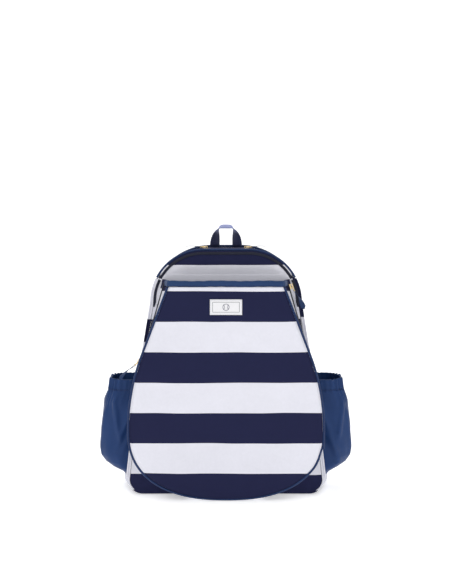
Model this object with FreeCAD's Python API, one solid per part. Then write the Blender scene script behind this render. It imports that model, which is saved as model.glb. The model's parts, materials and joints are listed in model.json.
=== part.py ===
"""Racket backpack, built as it is sewn: walls, panels, pockets, zips, webbing and straps.

Millimetres. +Z is up, the front of the bag faces -Y, and the origin is on the floor under the
middle of the whole bag. Left and right are as seen from the front: left is -X.
"""

import FreeCAD, Part
import math
import os

V = FreeCAD.Vector

# ---------------------------------------------------------------- driving dimensions
WALL = 3.0               # laminated wall: face cloth, foam and lining
GAP = 0.4                # clearance between pieces that are sewn or lie side by side

# Sections of the body. side, waist and hip are half widths at the arch's foot, the waist and the floor
FRONT = dict(y=-58.0, side=131.0, radius=90.0, arch_z=348.0, waist=156.0, hip=176.0, corner=26.0, base=1.5)
MIDDLE = dict(y=0.0, side=138.0, radius=111.0, arch_z=328.0, waist=163.0, hip=187.0, corner=20.0, base=-0.6)
BACK = dict(y=62.0, side=139.0, radius=112.0, arch_z=329.0, waist=163.0, hip=192.0, corner=22.0, base=-0.6)
WAIST_Z = 196.0
BACK_PANEL = 10.0        # thickness of the padded back
BASE_SEAM_Z = 28.0       # where the base wall meets the side walls
TOP_SEAM_Z = 373.0       # where they meet the top wall

# Inside the back: a board, a base board and a slip pocket
BOARD_THICK, BASE_BOARD_THICK = 2.0, 2.2
BOARD_LOW, BOARD_TOP, BOARD_HALF = 14.0, 405.0, 137.0
BASE_BOARD_HALF, BASE_BOARD_FRONT_Y = 156.0, -48.0
SLEEVE_HALF, SLEEVE_THICK, SLEEVE_TOP = 112.0, 2.0, 280.0
SLEEVE_DEEP = 16.0       # room for a tablet, from the back panel to the pocket's far face
BINDING_HEIGHT = 10.0

# Foam pads on the back: lowest z, highest z, half width
BACK_PADS = [(52.0, 146.0, 138.0), (156.0, 258.0, 130.0), (268.0, 366.0, 112.0)]
PAD_PROUD, PAD_CORNER = 5.0, 14.0

# Main compartment: the arch of the front folds forward along this line
FLAP_FOLD_Z = 391.0
FLAP_RIM_Y = -46.0       # the flap's rim ends here, and the zip starts behind it
ZIP_WIDTH = 10.0
ZIP_RISE = 1.2
MAIN_ZIP_LOW = 332.0     # where the main zip stops on each side

# Racket pocket: outline on the bag (rear) and outline of its front
POCKET_REAR = dict(widest=163.0, widest_z=125.0, top=113.0, low=6.0)
POCKET_FRONT = dict(widest=169.4, widest_z=125.0, top=95.0, low=4.8)
POCKET_TOP = 388.0
POCKET_SIDE_RADIUS = 371.0
POCKET_BOTTOM_POWER = 2.4    # superellipse power of the round bottom
POCKET_WALL = 2.5
MOUTH_OVERRUN = 14.0         # the pocket's block runs past its mouth, and is cut back to it
PANEL_BACK_Y = -101.0
PANEL_FRONT_Y = -107.0
POCKET_FOLD_Z = 209.0
POCKET_SPLIT_Y = -81.0       # the side zips part the gusset here
BAND_HEIGHT = 10.7
PIPING_R = 2.0
PIPING_Y = -104.0

# Zip sliders and their pulls
SLIDER_LONG, SLIDER_WIDE, SLIDER_HIGH = 9.0, 7.0, 2.4
BRIDGE_WIDE, BRIDGE_GAP, BRIDGE_BAR = 3.0, 2.8, 1.2
RING_ARM, RING_HALF, RING_WIRE = 9.0, 5.6, 0.8
PULL_WIDE, PULL_THICK = 9.0, 1.2
RIGHT_SLIDER_Z = 375.0       # closed, at the top
LEFT_SLIDER_Z = 241.0        # mostly open
RACKET_PULL_LONG, MAIN_PULL_LONG = 38.0, 26.0
RACKET_CLEARANCE = 1.5       # the gusset twists along the zip by that much
MAIN_CLEARANCE = 0.55
MAIN_PULL_LEAN = -4.0        # degrees that the pulls stand off, so that they clear the flared sides
LEFT_LEAN, LEFT_TWIST = 32.0, 40.0
RIGHT_LEAN, RIGHT_TWIST = 13.0, 80.0

# Side pockets for a bottle and a can of balls
BOTTLE_WALL = 2.4
BOTTLE_FRONT_Y, BOTTLE_BACK_Y = -46.0, 50.0
BOTTLE_TOP = 186.0
BOTTLE_BEND, BOTTLE_INNER_X = 30.0, 90.0     # round corners, and the inner end, well inside the bag
ELASTIC_HEIGHT = 20.0
BOTTLE_OUT = [(31.0, 190.0), (45.0, 211.0), (62.0, 228.5), (85.0, 231.0), (162.0, 223.0),
              (BOTTLE_TOP + ELASTIC_HEIGHT, 213.0)]      # height, reach from the middle

# Carrying straps
LOOP_Y, LOOP_Z, LOOP_HIGH = 50.0, 443.0, 39.0
WEBBING_WIDE, WEBBING_THICK = 25.0, 1.8
STRAP_TOP = V(50.0, 70.0, 406.0)       # the right strap's upper seam, on its swing axis
STRAP_FOOT = V(158.0, 70.0, 38.0)      # and its lower one
STRAP_WIDE, STRAP_THICK = 60.0, 11.0
PAD_START, PAD_END = 34.0, 300.0       # along the swing axis, from the upper seam
STRAP_START_HIGH, STRAP_HIGH = 3.5, 32.8   # how far the strap stands off its swing axis, least and most
LOCK_WIDE, LOCK_LONG, LOCK_THICK = 34.0, 20.0, 4.0
TAIL_LIFT, TAIL_LONG = 3.4, 58.0
LOOP_HALF = 22.5                           # half the spread of the carrying loop's legs
LABEL = (56.0, 27.0, 1.0)
LABEL_Z = 342.5


def mirror(shape):
    """The same piece on the other side of the bag."""
    return shape.mirror(V(0, 0, 0), V(1, 0, 0))


def slab(x=(-400, 400), y=(-400, 400), z=(-400, 600)):
    return Part.makeBox(x[1] - x[0], y[1] - y[0], z[1] - z[0], V(x[0], y[0], z[0]))


def box(centre, size):
    return Part.makeBox(size.x, size.y, size.z, centre - size * 0.5)


def arc(a, through, b):
    return Part.Arc(a, through, b).toShape()


def line(a, b):
    return Part.LineSegment(a, b).toShape()


# ---------------------------------------------------------------- the body's shape
def body_wire(s, inset):
    """Closed outline of the bag at one depth, moved inwards by inset."""
    y, base = s["y"], s["base"] + inset
    r = s["radius"] - inset
    flat = s["side"] - s["radius"]
    side, waist, hip = (s[k] - inset for k in ("side", "waist", "hip"))
    corner = max(s["corner"] - inset, 4.0)
    far = math.sqrt(0.5)

    def half(k):
        """The right half (k = 1) from the top down, or the left half (k = -1)."""
        centre = V(k * flat, y, s["arch_z"])
        low = V(k * (hip - corner), y, base + corner)
        return [
            line(V(0, y, centre.z + r), centre + V(0, 0, r)),
            arc(centre + V(0, 0, r), centre + V(k * r * far, 0, r * far), V(k * side, y, centre.z)),
            line(V(k * side, y, centre.z), V(k * waist, y, WAIST_Z)),
            line(V(k * waist, y, WAIST_Z), low + V(k * corner, 0, 0)),
            arc(low + V(k * corner, 0, 0), low + V(k * corner * far, 0, -corner * far),
                low - V(0, 0, corner)),
            line(low - V(0, 0, corner), V(0, y, base)),
        ]

    return Part.Wire(Part.__sortEdges__(half(1) + half(-1)))


def body(inset=0.0):
    """The solid that fills the bag's outline, moved inwards by inset."""
    return Part.makeLoft([body_wire(s, inset) for s in (FRONT, MIDDLE, BACK)], True, True)


def between(a, b, y):
    """Section of the body at depth y, between two of the given ones."""
    t = (y - a["y"]) / (b["y"] - a["y"])
    return {k: a[k] + t * (b[k] - a[k]) for k in a}


# ---------------------------------------------------------------- the racket pocket's shape
def pocket_side(o, inset):
    """Widest point, point where the curved side becomes straight, and the top corner."""
    wide, height = o["widest"] - inset, o["widest_z"]
    centre = wide - POCKET_SIDE_RADIUS
    run, rise = o["top"] - inset - centre, POCKET_TOP - height
    turn = math.atan2(rise, run) - math.acos(POCKET_SIDE_RADIUS / math.hypot(run, rise))
    meet = (centre + POCKET_SIDE_RADIUS * math.cos(turn), height + POCKET_SIDE_RADIUS * math.sin(turn))
    return centre, turn, meet


def pocket_edges(o, y, inset, top):
    """Edges of the pocket's outline, from the top left corner down and round to the top right."""
    centre, turn, meet = pocket_side(o, inset)
    lean = math.tan(turn)
    corner_x = meet[0] - (top - meet[1]) * lean
    wide, high = o["widest"] - inset, o["widest_z"]
    deep = high - o["low"] - inset
    half_turn = turn / 2
    through = (centre + POCKET_SIDE_RADIUS * math.cos(half_turn),
               high + POCKET_SIDE_RADIUS * math.sin(half_turn))
    power = 2 / POCKET_BOTTOM_POWER
    steps = 16
    bottom = []
    for i in range(steps + 1):
        angle = math.pi * i / steps
        c, s = math.cos(angle), math.sin(angle)
        bottom.append(V(-math.copysign(abs(c) ** power, c) * wide, y, high - abs(s) ** power * deep))
    curve = Part.BSplineCurve()
    curve.interpolate(bottom, InitialTangent=V(0, 0, -1), FinalTangent=V(0, 0, 1))

    def side(k):
        return [
            line(V(k * corner_x, y, top), V(k * meet[0], y, meet[1])),
            arc(V(k * meet[0], y, meet[1]), V(k * through[0], y, through[1]), V(k * wide, y, high)),
        ]

    return side(-1) + [curve.toShape()] + side(1), V(-corner_x, y, top), V(corner_x, y, top)


def pocket_wire(o, y, inset, top):
    edges, left, right = pocket_edges(o, y, inset, top)
    return Part.Wire(Part.__sortEdges__(edges + [line(left, right)]))


def pocket_block(inset):
    """The pocket as a solid block from the bag to its front panel. It runs past the mouth."""
    over = POCKET_TOP + MOUTH_OVERRUN
    return Part.makeLoft([
        pocket_wire(POCKET_REAR, FRONT["y"] - GAP, inset, over),
        pocket_wire(POCKET_FRONT, PANEL_BACK_Y + GAP, inset, over),
    ], True, True)


def pocket_x(y, z):
    """How far the pocket's straight upper side stands from the middle, at depth y and height z."""
    t = (FRONT["y"] - GAP - y) / (FRONT["y"] - PANEL_BACK_Y - 2 * GAP)
    found = []
    for o in (POCKET_REAR, POCKET_FRONT):
        _, turn, meet = pocket_side(o, 0)
        found.append(meet[0] - (z - meet[1]) * math.tan(turn))
    return found[0] + t * (found[1] - found[0])


# ---------------------------------------------------------------- strips of webbing and padding
def ribbon(stations):
    """Strip through (centre, across, through) stations: across and through are half sizes."""
    wires = []
    for centre, across, thick in stations:
        ring = [centre + across + thick, centre - across + thick,
                centre - across - thick, centre + across - thick]
        wires.append(Part.makePolygon(ring + [ring[0]]))
    return Part.makeLoft(wires, True, True)


# ---------------------------------------------------------------- main body pieces
def walls():
    """Side, top and base walls, and the arch of the front that folds forward with its rim."""
    outer, inner = body(), body(WALL)
    ring = outer.cut(inner)
    flap_zone = slab(y=(-400, FLAP_RIM_Y + GAP), z=(FLAP_FOLD_Z - GAP, 600))
    fixed = ring.cut(flap_zone)
    pieces = {
        "top_wall": fixed.common(slab(z=(TOP_SEAM_Z + GAP / 2, 600))),
        "side_wall_left": fixed.common(slab(x=(-400, 0), z=(BASE_SEAM_Z + GAP / 2, TOP_SEAM_Z - GAP / 2))),
        "side_wall_right": fixed.common(slab(x=(0, 400), z=(BASE_SEAM_Z + GAP / 2, TOP_SEAM_Z - GAP / 2))),
        "base_wall": fixed.common(slab(z=(0, BASE_SEAM_Z - GAP / 2))),      # cut flat where it stands
    }
    tray = outer.cut(inner.common(slab(y=(FRONT["y"] + WALL, 400))))
    pieces["top_flap"] = tray.common(slab(y=(-400, FLAP_RIM_Y), z=(FLAP_FOLD_Z + GAP, 600)))
    inside = body(WALL + GAP)
    pieces["front_panel"] = inside.common(
        slab(y=(FRONT["y"], FRONT["y"] + WALL), z=(-50, FLAP_FOLD_Z - GAP)))
    pieces["back_panel"] = inside.common(slab(y=(BACK["y"] - BACK_PANEL, BACK["y"])))
    return pieces


def stiffeners():
    """The board in the back, the board in the base and the slip pocket inside the back."""
    inside = body(WALL + 3.0)
    back_y = BACK["y"] - BACK_PANEL - GAP
    board = inside.common(slab(x=(-BOARD_HALF, BOARD_HALF), y=(back_y - BOARD_THICK, back_y),
                               z=(BOARD_LOW, BOARD_TOP)))
    base_z = WALL + 2.0
    base = slab(x=(-BASE_BOARD_HALF, BASE_BOARD_HALF), y=(BASE_BOARD_FRONT_Y, back_y - 3.0),
                z=(base_z, base_z + BASE_BOARD_THICK))
    half, thick = SLEEVE_HALF, SLEEVE_THICK
    sleeve_y = back_y - SLEEVE_DEEP
    sleeve = slab(x=(-half, half), y=(sleeve_y - thick, sleeve_y), z=(BOARD_LOW, SLEEVE_TOP))
    sides = slab(x=(-half, half), y=(sleeve_y + GAP, back_y - BOARD_THICK - 0.6), z=(BOARD_LOW, SLEEVE_TOP))
    sides = sides.cut(slab(x=(-half + thick, half - thick), z=(BOARD_LOW + thick, 600)))
    hem = slab(x=(-half - 1, half + 1), y=(sleeve_y - thick - 1.4, sleeve_y + 1.2),
               z=(SLEEVE_TOP + GAP, SLEEVE_TOP + BINDING_HEIGHT))
    return {"back_board": board, "base_board": base, "inner_sleeve": sleeve,
            "inner_sleeve_gusset": sides, "inner_sleeve_binding": hem}


def main_zip():
    """The zip tape and coil round the arch, proud of the walls."""
    strip = body(-ZIP_RISE).cut(body(-0.2))
    low, high = FLAP_RIM_Y + GAP, FLAP_RIM_Y + GAP + ZIP_WIDTH
    return {"main_zip": strip.common(slab(y=(low, high), z=(MAIN_ZIP_LOW, 600)))}


def edge_piping():
    """Piping round the back edge, and round the front edge below the flap and on it."""
    def pipe(section, y, clip):
        wire = body_wire(dict(section, y=y), -PIPING_R - 0.2)
        start = V(0, y, section["arch_z"] + section["radius"] + PIPING_R + 0.2)
        rings = Part.Wire([Part.makeCircle(PIPING_R, start, V(1, 0, 0))])
        swept = wire.makePipeShell([rings], True, True)
        return swept.common(clip)

    back = pipe(between(MIDDLE, BACK, BACK["y"] - 3), BACK["y"] - 3, slab(z=(40, 600)))
    front = between(FRONT, MIDDLE, FRONT["y"] + 3)
    low = pipe(front, FRONT["y"] + 3, slab(z=(32, FLAP_FOLD_Z - GAP)))
    high = pipe(front, FRONT["y"] + 3, slab(z=(FLAP_FOLD_Z + GAP, 600)))
    return {"back_piping": back, "front_piping": low, "top_flap_piping": high}


def back_padding():
    """Three foam pads under air mesh, clear of the straps' upper seams."""
    pads = []
    for low, high, half in BACK_PADS:
        pad = slab(x=(-half, half), y=(BACK["y"] + GAP, BACK["y"] + PAD_PROUD), z=(low, high))
        corners = [e for e in pad.Edges if abs(e.Vertexes[0].Y - e.Vertexes[1].Y) > 1]
        pads.append(pad.makeFillet(PAD_CORNER, corners))
    return {"back_padding": Part.makeCompound(pads)}


# ---------------------------------------------------------------- racket pocket pieces
def racket_pocket():
    """Gusset, front, fold-down flap, top band, label and piping."""
    ring = pocket_block(0).cut(pocket_block(POCKET_WALL))
    above, below = (POCKET_FOLD_Z + 0.5, POCKET_TOP), (-50, POCKET_FOLD_Z - 0.5)
    panel = Part.Face(pocket_wire(POCKET_FRONT, PANEL_FRONT_Y, 0, POCKET_TOP))
    panel = panel.extrude(V(0, PANEL_BACK_Y - PANEL_FRONT_Y, 0))
    band_z = POCKET_TOP - BAND_HEIGHT
    pieces = {
        "racket_pocket_gusset": ring.common(slab(z=below)),
        "racket_pocket_front": panel.common(slab(z=below)),
        "racket_flap": panel.common(slab(z=(above[0], band_z - GAP))),
    }
    for name, x in (("left", (-400, 0)), ("right", (0, 400))):
        half = ring.common(slab(x=x, z=above))
        pieces["racket_pocket_side_" + name] = half.common(slab(y=(POCKET_SPLIT_Y + GAP, 0)))
        pieces["racket_flap_side_" + name] = half.common(
            slab(y=(-400, POCKET_SPLIT_Y - GAP), z=(0, band_z - GAP)))
    band = Part.Face(pocket_wire(POCKET_FRONT, PANEL_FRONT_Y - 0.6, -0.5, POCKET_TOP))
    band = band.extrude(V(0, PANEL_BACK_Y - PANEL_FRONT_Y + 1.2, 0)).common(slab(z=(band_z, 600)))
    pieces["racket_flap_band"] = band
    wide, high, thick = LABEL
    pieces["label_patch"] = slab(
        x=(-wide / 2, wide / 2), y=(PANEL_FRONT_Y - 0.3 - thick, PANEL_FRONT_Y - 0.3),
        z=(LABEL_Z - high / 2, LABEL_Z + high / 2))
    return pieces


def racket_piping():
    """Corded piping round the pocket's front, parted at the fold."""
    edges, start, _ = pocket_edges(POCKET_FRONT, PIPING_Y, -PIPING_R - 0.2, POCKET_TOP - BAND_HEIGHT - 1)
    path = Part.Wire(Part.__sortEdges__(edges))
    ring = Part.Wire([Part.makeCircle(PIPING_R, start, path.OrderedEdges[0].tangentAt(0))])
    cord = path.makePipeShell([ring], True, False)
    return {
        "racket_pocket_piping": cord.common(slab(z=(-50, POCKET_FOLD_Z - 0.5))),
        "racket_flap_piping": cord.common(slab(z=(POCKET_FOLD_Z + 0.5, 600))),
    }


def racket_zips():
    """Zip tape and coil up each side of the racket pocket, on the half that stays on the bag."""
    strip = pocket_block(-ZIP_RISE).cut(pocket_block(-0.2))
    strip = strip.common(slab(y=(POCKET_SPLIT_Y + GAP, POCKET_SPLIT_Y + GAP + ZIP_WIDTH),
                              z=(POCKET_FOLD_Z + 2, POCKET_TOP - 4)))
    return {"racket_zip_left": strip.common(slab(x=(-400, 0))),
            "racket_zip_right": strip.common(slab(x=(0, 400)))}


# ---------------------------------------------------------------- zip sliders
def slider():
    """A zip slider along local X, its outer side towards local Z, its pull's pivot on the local Y axis."""
    base = box(V(0, 0, -BRIDGE_GAP / 2 - SLIDER_HIGH / 2), V(SLIDER_LONG, SLIDER_WIDE, SLIDER_HIGH))
    bar_z = BRIDGE_GAP / 2 + BRIDGE_BAR / 2
    bar = box(V(0, 0, bar_z), V(SLIDER_LONG - 1, BRIDGE_WIDE, BRIDGE_BAR))
    post = V(1.2, BRIDGE_WIDE, BRIDGE_GAP + 0.4)
    posts = [box(V(k * (SLIDER_LONG / 2 - 1.1), 0, 0), post) for k in (-1, 1)]
    return base.fuse([bar] + posts).removeSplitter()


def pull_ring():
    """Rectangular wire ring: its near bar turns under the slider's bridge."""
    def rod(a, b):
        return Part.makeCylinder(RING_WIRE, (b - a).Length, a, b - a)

    near, far = [[V(x, k * RING_HALF, 0) for k in (-1, 1)] for x in (0, RING_ARM)]
    rods = [rod(*near), rod(*far), rod(near[0], far[0]), rod(near[1], far[1])]
    corners = [Part.makeSphere(RING_WIRE, p) for p in near + far]
    return rods[0].fuse(rods[1:] + corners).removeSplitter()


def pull_strap(length, twist):
    """Ribbon looped on the ring's far bar. It turns by twist degrees about its own run."""
    eye_r = RING_WIRE + 0.35
    eye = Part.makeCylinder(eye_r + PULL_THICK, PULL_WIDE, V(RING_ARM, -PULL_WIDE / 2, 0), V(0, 1, 0))
    start = RING_ARM + eye_r + 0.3
    stations = [(V(start, 0, 0), V(0, PULL_WIDE / 2, 0), V(0, 0, PULL_THICK / 2))]
    for i in range(7):
        t = i / 6
        angle = math.radians(twist * min(1.0, t * 1.6))
        across = V(0, math.cos(angle), math.sin(angle)) * (PULL_WIDE / 2)
        thick = V(0, -math.sin(angle), math.cos(angle)) * (PULL_THICK / 2)
        stations.append((V(start + 3.0 + t * (length - 3.0), 0, 0), across, thick))
    hole = Part.makeCylinder(eye_r, PULL_WIDE * 2, V(RING_ARM, -PULL_WIDE, 0), V(0, 1, 0))
    return eye.fuse(ribbon(stations)).cut(hole).removeSplitter()


def placed(shape, pivot, along, outwards):
    """Moves a local piece so that X lies along and Z points outwards, with its pivot at a point."""
    x, z = V(along).normalize(), V(outwards).normalize()
    y = z.cross(x)
    matrix = FreeCAD.Matrix(x.x, y.x, z.x, pivot.x, x.y, y.y, z.y, pivot.y,
                            x.z, y.z, z.z, pivot.z, 0, 0, 0, 1)
    return shape.transformed(matrix)


def turned(shape, pivot, degrees):
    """Turns a piece about the line through pivot that runs along +Y."""
    copy = shape.copy()
    copy.rotate(pivot, V(0, 1, 0), degrees)
    return copy


def pivot_above(surface, outwards, clearance):
    """The pull's pivot for a slider that rides above a surface point by the zip and a clearance."""
    return surface + V(outwards).normalize() * (ZIP_RISE + clearance + SLIDER_HIGH + BRIDGE_GAP / 2)


def racket_sliders():
    """Sliders on the pocket's side zips: the right one closed at the top, the left one half open."""
    y = POCKET_SPLIT_Y + GAP + ZIP_WIDTH / 2
    pieces = {}
    for name, k, z, lean, twist in (("left", -1, LEFT_SLIDER_Z, LEFT_LEAN, LEFT_TWIST),
                                    ("right", 1, RIGHT_SLIDER_Z, RIGHT_LEAN, RIGHT_TWIST)):
        down = V(pocket_x(y, z - 10) - pocket_x(y, z), 0, -10).normalize()
        out = V(-down.z, 0, down.x)
        surface = V(pocket_x(y, z), y, z)
        pivot = pivot_above(surface, out, RACKET_CLEARANCE)
        ride = placed(slider(), pivot, down, out)
        ring = turned(placed(pull_ring(), pivot, down, out), pivot, -lean)
        strap = turned(placed(pull_strap(RACKET_PULL_LONG, twist), pivot, down, out), pivot, -lean)
        group = {"racket_slider_": ride, "racket_pull_ring_": ring, "racket_pull_strap_": strap}
        for stem, shape in group.items():
            pieces[stem + name] = shape if k > 0 else mirror(shape)
        print("racket slider", name, "pivot", k * pivot.x, pivot.y, pivot.z, "down", k * down.x, down.z)
    return pieces


def main_sliders():
    """Two sliders on the main zip, parked where the arch starts to fall away each side."""
    y = FLAP_RIM_Y + GAP + ZIP_WIDTH / 2
    section = between(FRONT, MIDDLE, y)
    centre = V(section["side"] - section["radius"], y, section["arch_z"])
    pivot = pivot_above(centre + V(0, 0, section["radius"]), V(0, 0, 1), MAIN_CLEARANCE)
    group = {
        "main_slider_": placed(slider(), pivot, V(1, 0, 0), V(0, 0, 1)),
        "main_pull_ring_": turned(placed(pull_ring(), pivot, V(1, 0, 0), V(0, 0, 1)), pivot, MAIN_PULL_LEAN),
        "main_pull_strap_": turned(
            placed(pull_strap(MAIN_PULL_LONG, 0.0), pivot, V(1, 0, 0), V(0, 0, 1)), pivot, MAIN_PULL_LEAN),
    }
    print("main slider centre", centre, "pivot", pivot)
    pieces = {}
    for stem, shape in group.items():
        pieces[stem + "right"] = shape
        pieces[stem + "left"] = mirror(shape)
    return pieces


# ---------------------------------------------------------------- side pockets
def bottle_pocket(side_block):
    """Bottle pocket on the right: a gathered shell and its elastic hem, cut to the bag's side."""
    def wire(z, reach, inset):
        inner_x = BOTTLE_INNER_X
        x = reach - inset
        front, back = BOTTLE_FRONT_Y + inset, BOTTLE_BACK_Y - inset
        bend = BOTTLE_BEND - inset
        far = bend * (1 - math.sqrt(0.5))
        return Part.Wire([
            line(V(inner_x, front, z), V(x - bend, front, z)),
            arc(V(x - bend, front, z), V(x - far, front + far, z), V(x, front + bend, z)),
            line(V(x, front + bend, z), V(x, back - bend, z)),
            arc(V(x, back - bend, z), V(x - far, back - far, z), V(x - bend, back, z)),
            line(V(x - bend, back, z), V(inner_x, back, z)),
            line(V(inner_x, back, z), V(inner_x, front, z)),
        ])

    outer = Part.makeLoft([wire(z, reach, 0) for z, reach in BOTTLE_OUT], True, True)
    raised = [(z + BOTTLE_WALL if i == 0 else z, reach) for i, (z, reach) in enumerate(BOTTLE_OUT)]
    inner = Part.makeLoft([wire(z, reach, BOTTLE_WALL) for z, reach in raised], True, True)
    shell = outer.cut(inner).cut(side_block)
    return (shell.common(slab(z=(0, BOTTLE_TOP - GAP))), shell.common(slab(z=(BOTTLE_TOP, 600))))


def bottle_pockets():
    block = body(-0.3)
    cloth, elastic = bottle_pocket(block)
    return {"bottle_pocket_right": cloth, "bottle_pocket_left": mirror(cloth),
            "bottle_elastic_right": elastic, "bottle_elastic_left": mirror(elastic)}


# ---------------------------------------------------------------- carrying pieces
def haul_loop():
    """Webbing loop: flat against the back at its ends, and turned side on over the top."""
    stations = []
    for i in range(17):
        t = i / 16
        angle = math.pi * t
        turn = math.pi / 2 * math.sin(angle) ** 0.8
        x = -LOOP_HALF * math.copysign(abs(math.cos(angle)) ** 0.6, math.cos(angle))
        z = LOOP_Z + (LOOP_HIGH - WEBBING_THICK) * math.sin(angle) ** 0.75
        tangent = V(math.sin(angle), 0, math.cos(angle)).normalize()
        flat = V(tangent.z, 0, -tangent.x)
        across = flat * math.cos(turn) + V(0, 1, 0) * math.sin(turn)
        thick = tangent.cross(across)
        stations.append((V(x, LOOP_Y, z), across * (WEBBING_WIDE / 2), thick * (WEBBING_THICK / 2)))
    return {"haul_loop": ribbon(stations)}


def strap_frame():
    """Directions of the right strap: along its swing axis, away from the bag, and across."""
    along = (STRAP_FOOT - STRAP_TOP).normalize()
    away = V(0, 1, 0)
    return along, away, along.cross(away)


def strap_height(s):
    """How far the strap's middle line stands off its swing axis, at s along it."""
    share = min(max(s / (STRAP_FOOT - STRAP_TOP).Length, 0.0), 1.0)
    return STRAP_START_HIGH + (STRAP_HIGH - STRAP_START_HIGH) * math.sin(math.pi * share ** 0.85) ** 0.8


def strap_station(s, wide, thick, lift=0.0):
    along, away, across = strap_frame()
    step = 1.0
    slope = (strap_height(s + step) - strap_height(s - step)) / (2 * step)
    normal = (away - along * slope).normalize()
    centre = STRAP_TOP + along * s + away * strap_height(s) + normal * lift
    return centre, across * (wide / 2), normal * (thick / 2)


def shoulder_strap():
    """Right shoulder strap: padded strap, ladder lock, webbing, tail, and the seams at both ends."""
    along, away, across = strap_frame()
    count = 12
    pad = ribbon([strap_station(PAD_START + (PAD_END - PAD_START) * i / count, STRAP_WIDE, STRAP_THICK)
                  for i in range(count + 1)])
    lock_s = PAD_END + 2.0 + LOCK_LONG / 2
    centre, wide, thick = strap_station(lock_s, LOCK_WIDE, LOCK_THICK)
    run = wide.cross(thick).normalize()
    frame = ribbon([(centre + run * d, wide, thick) for d in (-LOCK_LONG / 2, LOCK_LONG / 2)])
    for d in (-5.2, 0.6, 6.0):
        frame = frame.cut(ribbon([(centre + run * (d + e), wide * 0.78, thick * 2) for e in (-1.4, 1.4)]))
    total = (STRAP_FOOT - STRAP_TOP).Length
    first, last = lock_s + LOCK_LONG / 2 + 1.0, total - 10.0
    web = ribbon([strap_station(first + (last - first) * i / 5, WEBBING_WIDE, WEBBING_THICK)
                  for i in range(6)])
    start, edge, _ = strap_station(first, WEBBING_WIDE, WEBBING_THICK, TAIL_LIFT)
    drop = V(0.10, 0.22, -1).normalize()
    side = edge.normalize() * (WEBBING_WIDE / 2)
    through = drop.cross(side).normalize() * (WEBBING_THICK / 2)
    tail = ribbon([(start + drop * d, side, through) for d in (0, TAIL_LONG)])
    root = ribbon([(STRAP_TOP + along * s + away * -3.2, across * (STRAP_WIDE / 2 - 3), away * 4.0)
                   for s in (-8.0, PAD_START - 6.0)])
    corners = [STRAP_FOOT + V(x, -7.0, z) for x, z in ((-17, 12), (17, 12), (23, -24), (-14, -24))]
    tab = Part.Face(Part.makePolygon(corners + corners[:1])).extrude(V(0, 2.4, 0))
    print("strap tail pivot", start, "across", side.normalize())
    return {"shoulder_pad_": pad, "ladder_lock_": frame, "strap_webbing_": web, "strap_tail_": tail,
            "strap_root_": root, "strap_foot_": tab}


def shoulder_straps():
    pieces = {}
    for stem, shape in shoulder_strap().items():
        pieces[stem + "right"] = shape
        pieces[stem + "left"] = mirror(shape)
    return pieces


def build():
    pieces = {}
    for make in (walls, stiffeners, main_zip, edge_piping, back_padding, racket_pocket, racket_piping,
                 racket_zips, racket_sliders, main_sliders, bottle_pockets, haul_loop, shoulder_straps):
        pieces.update(make())
    return pieces


def main():
    os.makedirs("parts", exist_ok=True)
    pieces = build()
    for name, shape in sorted(pieces.items()):
        solids = shape.Solids
        if not solids or not shape.isValid():
            print("PROBLEM", name, len(solids), shape.isValid())
        Part.makeCompound(solids).exportStep("parts/%s.step" % name)
    print(len(pieces), "nodes")


main()
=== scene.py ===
# %% [markdown]
# # A striped racket backpack
# The hard design is already packed: where each wall, zip, buckle and hinge is. This file gives each of
# those pieces its cloth, foam and metal. Lengths are in metres, +Z is up, and the front faces -Y.

# %% Load the frame
import json
import math
import bmesh
import bpy
import numpy as np
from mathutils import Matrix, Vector


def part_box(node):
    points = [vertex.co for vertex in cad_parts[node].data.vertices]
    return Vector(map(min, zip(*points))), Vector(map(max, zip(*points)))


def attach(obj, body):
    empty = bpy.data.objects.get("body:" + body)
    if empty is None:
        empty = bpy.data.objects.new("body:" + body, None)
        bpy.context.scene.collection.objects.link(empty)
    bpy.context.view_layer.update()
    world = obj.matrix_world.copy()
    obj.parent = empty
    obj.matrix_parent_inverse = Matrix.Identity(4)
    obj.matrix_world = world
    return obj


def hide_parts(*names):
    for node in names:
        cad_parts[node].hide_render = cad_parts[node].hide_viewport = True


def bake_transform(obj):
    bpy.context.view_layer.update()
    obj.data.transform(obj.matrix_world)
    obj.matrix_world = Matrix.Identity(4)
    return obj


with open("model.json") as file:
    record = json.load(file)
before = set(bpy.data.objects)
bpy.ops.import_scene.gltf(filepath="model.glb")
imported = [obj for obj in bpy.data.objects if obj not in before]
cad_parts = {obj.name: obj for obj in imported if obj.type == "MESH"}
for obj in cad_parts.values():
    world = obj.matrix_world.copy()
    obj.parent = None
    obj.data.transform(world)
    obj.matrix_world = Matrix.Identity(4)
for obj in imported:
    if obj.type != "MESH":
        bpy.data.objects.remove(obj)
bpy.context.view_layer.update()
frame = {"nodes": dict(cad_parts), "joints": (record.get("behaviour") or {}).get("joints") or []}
JOINTS = {j["name"]: j for j in frame["joints"]}

# %% [markdown]
# ## Camera, floor and light
# The bag is seen from straight in front, a little above its middle, with a long lens, so the sides
# hardly show. Three large soft lamps and a pale sweep stand for a photo studio. A sweep is a floor that
# curves up into a wall, so there is no horizon line.

# %% Camera
CAMERA_AT = (0.0, -2.15, 0.5187)
CAMERA_TILT = 4.2                     # degrees below level
LENS = 72.8

camera = bpy.data.objects.new("camera", bpy.data.cameras.new("camera"))
camera.location = CAMERA_AT
camera.rotation_euler = (math.radians(90 - CAMERA_TILT), 0, 0)
camera.data.lens = LENS
camera.data.sensor_width = 36
bpy.context.scene.collection.objects.link(camera)
bpy.context.scene.camera = camera
bpy.context.scene.view_settings.view_transform = "Standard"
print("camera at", CAMERA_AT, "lens", LENS)


# %% Array helpers
MIRROR = np.array([-1, 1, 1])


def join(*parts):
    """Coordinates, as numbers or arrays whose shapes match, stacked as points."""
    return np.stack(np.broadcast_arrays(*parts), -1)


def unit(vectors):
    """The same vectors with length one."""
    return vectors / np.linalg.norm(vectors, axis=-1)[..., None]


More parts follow.
